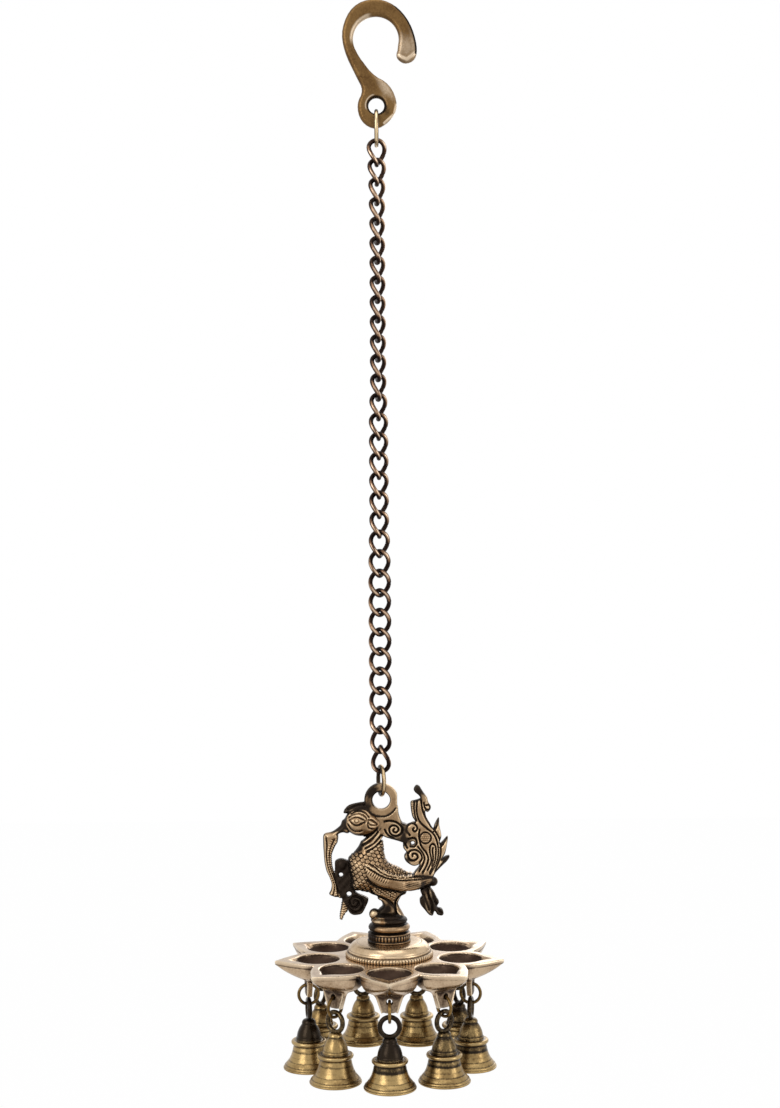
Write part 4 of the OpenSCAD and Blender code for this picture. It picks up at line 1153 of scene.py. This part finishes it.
# bells with their rings and clappers
bellShape = dict(
    ringAt=46.5, ringMid=-19.85, ringR=5.6, ringWire=1.8, lipZ=-61.5, loopZ=-28.2, loopR=5.35, loopWire=2.7,
    barZ=-42.0, barHalf=5.6, bar=1.4, around=96,
    crownFrom=16.2, crownTo=17.4, bandAt=11.4, bandWide=2.2, lipAt=2.8, lipWide=1.4,
    # crown, band under the flange and film all over, on the bells that the picture shows best
    tarnish={1: (0.6, 0.5, 0.0), 2: (0.2, 0.25, 0.1), 3: (0.18, 0.4, 0.04), 5: (0.05, 0.06, 0.0),
             6: (0.06, 0.04, 0.0), 7: (0.1, 0.1, 0.0), 8: (0.6, 0.08, 0.0), 9: (0.04, 0.04, 0.0)},
    outside=[
        (12.7, 0.0, 0.2), (13.8, 0.0, 0.1), (14.4, 0.2, -0.2), (14.5, 0.7, -0.3), (14.4, 1.1, -0.1),
        (13.95, 1.3, 0.8), (13.95, 1.5, 0.2), (13.95, 1.9, -0.2), (13.7, 2.35, -0.1), (13.2, 2.6, 0.8),
        (13.05, 2.85, 0.3), (12.6, 3.5, 0), (11.75, 4.5, 0), (11.44, 4.85, 0.8), (11.29, 5.05, 0.6),
        (11.0, 5.6, 0), (10.5, 6.6, 0), (10.25, 7.1, 0.5), (10.14, 7.35, 0.4), (9.9, 8.1, 0), (9.45, 9.6, 0),
        (9.28, 10.2, 0.8), (9.22, 10.4, 0.7), (9.05, 11.5, 0), (8.75, 12.6, 0.2), (8.6, 13.3, 0.9),
        (8.75, 13.6, 0.7), (9.4, 13.9, 0), (9.85, 14.3, -0.4), (10.0, 15.0, -0.5), (9.85, 15.6, -0.5),
        (9.3, 16.0, -0.3), (8.4, 16.0, 0.5), (7.7, 16.0, 0.9), (7.3, 16.25, 0.9), (7.2, 16.7, 0.5),
        (7.25, 17.2, 0.2), (7.1, 17.7, 0.3), (6.85, 17.9, 0.8), (6.85, 18.15, 0.5), (6.75, 18.9, 0.2),
        (6.35, 20.5, 0.2), (5.75, 22.0, 0.2), (5.0, 23.4, 0.3), (4.3, 24.4, 0.5), (3.95, 25.0, 0.9),
        (3.95, 25.4, 0.8), (4.0, 25.9, 0.3), (3.6, 26.8, 0.3), (2.9, 27.5, 0.5), (2.0, 27.8, 0.6),
        (0.6, 27.9, 0.6),
    ],
    inside=[(0.6, 22.4, 0.6), (3.6, 21.6, 0.6), (4.9, 19, 0.6), (5.6, 16.4, 0.6), (6.8, 14, 0.5),
            (7.4, 11, 0.5), (8.3, 8, 0.4), (9.9, 4.8, 0.3), (11.5, 2.6, 0.2), (12.5, 0.6, 0.2)],
)
clapperShape = dict(
    eyeR=1.55, eyeWire=0.9,
    profile=[(0.3, -1.2, 0), (0.62, -1.3, 0), (0.65, -2, 0), (0.65, -12.2, 0), (0.9, -12.8, 0.5),
             (2.0, -13.4, 0.2), (2.9, -14.6, 0), (3.2, -16.0, 0), (2.9, -17.4, 0), (2.0, -18.6, 0),
             (0.9, -19.1, 0), (0.2, -19.2, 0)],
)


def makeBells(shape, clapper):
    chance = np.random.default_rng(11)
    outside = soften(shape["outside"], 2)
    inside = soften(shape["inside"], 1)
    around = shape["around"]
    # from the crown down the inside, round the lip and up the outside, so that only the crown is closed
    profile = np.vstack([inside, outside])
    bellShell = lathe(profile, around)
    shade = np.concatenate([np.repeat(profile[:, 2], around) * 0.55, [0, 0]])
    height = np.concatenate([np.repeat(profile[:, 1], around), profile[[0, -1], 1]])
    outer = np.concatenate([np.repeat(np.arange(len(profile)) >= len(inside), around), [False, True]])
    loop = moved(wireLoop(circle(shape["loopR"], 64, "y"), shape["loopWire"], 16), (0, 0, shape["loopZ"]))
    turn = np.linspace(0, 2 * math.pi, 20, endpoint=False)
    section = np.stack([0 * turn, shape["bar"] / 2 * np.cos(turn), shape["bar"] / 2 * np.sin(turn)], 1)
    bar = [section + np.array([end, 0, 0]) for end in np.linspace(-shape["barHalf"], shape["barHalf"], 5)]
    bar = moved(skin(np.array(bar)), (0, 0, shape["barZ"]))
    ball = lathe(soften(clapper["profile"], 2), 32)
    eye = wireLoop(circle(clapper["eyeR"], 32), clapper["eyeWire"], 10)
    ring = wireLoop(circle(shape["ringR"], 72), shape["ringWire"], 14, seamAt=12)

    def hung(shell, z, k):
        return atCup(moved(shell, (0, -shape["ringAt"], z)), k)

    for k in range(1, cups + 1):
        # crown, shoulder and band under the flange darken more on some bells than on others
        crown, band, lip = chance.uniform(0.1, 0.5), chance.uniform(0.05, 0.3), chance.uniform(0, 0.25)
        crown, band, film = shape["tarnish"].get(k, (crown, band, 0))
        stainAndPaintedShade = film + crown * ramp(height, shape["crownFrom"], shape["crownTo"])
        stainAndPaintedShade = stainAndPaintedShade + band * hump(height, shape["bandAt"], shape["bandWide"])
        stainAndPaintedShade = np.where(outer, stainAndPaintedShade + lip * hump(height, shape["lipAt"], shape["lipWide"]), 0.45)
        shells = [hung(bellShell, shape["lipZ"], k), hung(loop, 0, k), hung(bar, 0, k)]
        more = len(loop[0]) + len(bar[0])
        addPiece("bell_cast_%d" % k, shells, "bell_%d" % k, ["bell_%d" % k], "bell", {
            "hollowAndPaintedLight": np.concatenate([shade, np.full(more, 0.0)]),
            "stainAndPaintedShade": np.concatenate([stainAndPaintedShade, np.full(more, 0.5 + crown * 0.4)]),
        })
        addPiece("bell_wire_%d" % k, [hung(ring, shape["ringMid"], k)], "bell_ring_%d" % k, ["bell_ring_%d" % k],
                 "wire", {"stainAndPaintedShade": np.full(len(ring[0]), chance.uniform(0.2, 0.5))})
        parts = [hung(part, shape["barZ"], k) for part in (ball, eye)]
        addPiece("clapper_ball_%d" % k, parts, "clapper_%d" % k, ["clapper_%d" % k], "clapper",
                 {"stainAndPaintedShade": np.full(len(ball[0]) + len(eye[0]), 0.25)})


makeBells(bellShape, clapperShape)
print("bells made")

# floor, world and soft boxes
stageLook = dict(floorZ=-1.15, floorSize=9.0, daylight=0.45, floorTone=(0.86, 0.86, 0.86, 1))


def seenDirectly(finish):
    path = finish.node("ShaderNodeLightPath")
    seen = [Wire(finish, path.socket.node.outputs[name]) for name in
            ("Is Camera Ray", "Is Glossy Ray", "Is Transmission Ray")]
    return seen[0].math("MAXIMUM", seen[1]).math("MAXIMUM", seen[2])


def makeStage(look):
    half = look["floorSize"] / 2
    mesh = bpy.data.meshes.new("floor")
    corners = [(x * half, y * half, look["floorZ"]) for x, y in ((-1, -1), (1, -1), (1, 1), (-1, 1))]
    mesh.from_pydata(corners, [], [(0, 1, 2, 3)])
    paper = Finish("floorPaper")
    direct = seenDirectly(paper)
    matt = paper.node("ShaderNodeBsdfDiffuse", {}, {"Color": look["floorTone"]})
    glow = paper.node("ShaderNodeEmission", {}, {"Color": (1, 1, 1, 1), "Strength": 1.0})
    mixed = paper.node("ShaderNodeMixShader", {}, {0: direct * 0.99, 1: matt, 2: glow})
    paper.node("ShaderNodeOutputMaterial", {}, {"Surface": mixed})
    mesh.materials.append(paper.material)
    floor = bpy.data.objects.new("floor", mesh)
    bpy.context.scene.collection.objects.link(floor)
    world = bpy.data.worlds.new("studio")
    world.use_nodes = True
    bpy.context.scene.world = world
    air = Finish("studio", world.node_tree)
    direct = seenDirectly(air)
    strength = look["daylight"] + direct * (1 - look["daylight"])
    sky = air.node("ShaderNodeBackground", {}, {"Color": (1, 1, 1, 1), "Strength": strength})
    air.node("ShaderNodeOutputWorld", {}, {"Surface": sky})


softBoxes = {
    "key": dict(place=(-1.1, -1.2, 0.35), aim=(0, 0, -0.35), size=(0.9, 1.4), power=12),
    "fill": dict(place=(1.4, -0.7, -0.2), aim=(0, 0, -0.35), size=(0.7, 1.3), power=6),
    "top": dict(place=(0.1, -0.2, 1.1), aim=(0, 0, -0.4), size=(1.2, 1.2), power=6),
    "back": dict(place=(0.5, 1.5, 0.2), aim=(0, 0, -0.35), size=(0.9, 1.2), power=6),
}


def makeLights(boxes):
    for name, box in boxes.items():
        lamp = bpy.data.lights.new(name, "AREA")
        lamp.shape = "RECTANGLE"
        lamp.size, lamp.size_y = box["size"]
        lamp.energy = box["power"]
        light = bpy.data.objects.new(name, lamp)
        light.location = box["place"]
        heading = Vector(box["aim"]) - Vector(box["place"])
        light.rotation_euler = heading.to_track_quat("-Z", "Y").to_euler()
        light.visible_camera = False
        bpy.context.scene.collection.objects.link(light)


makeStage(stageLook)
makeLights(softBoxes)
bpy.context.scene.view_settings.view_transform = "Standard"
print("stage and lights made")
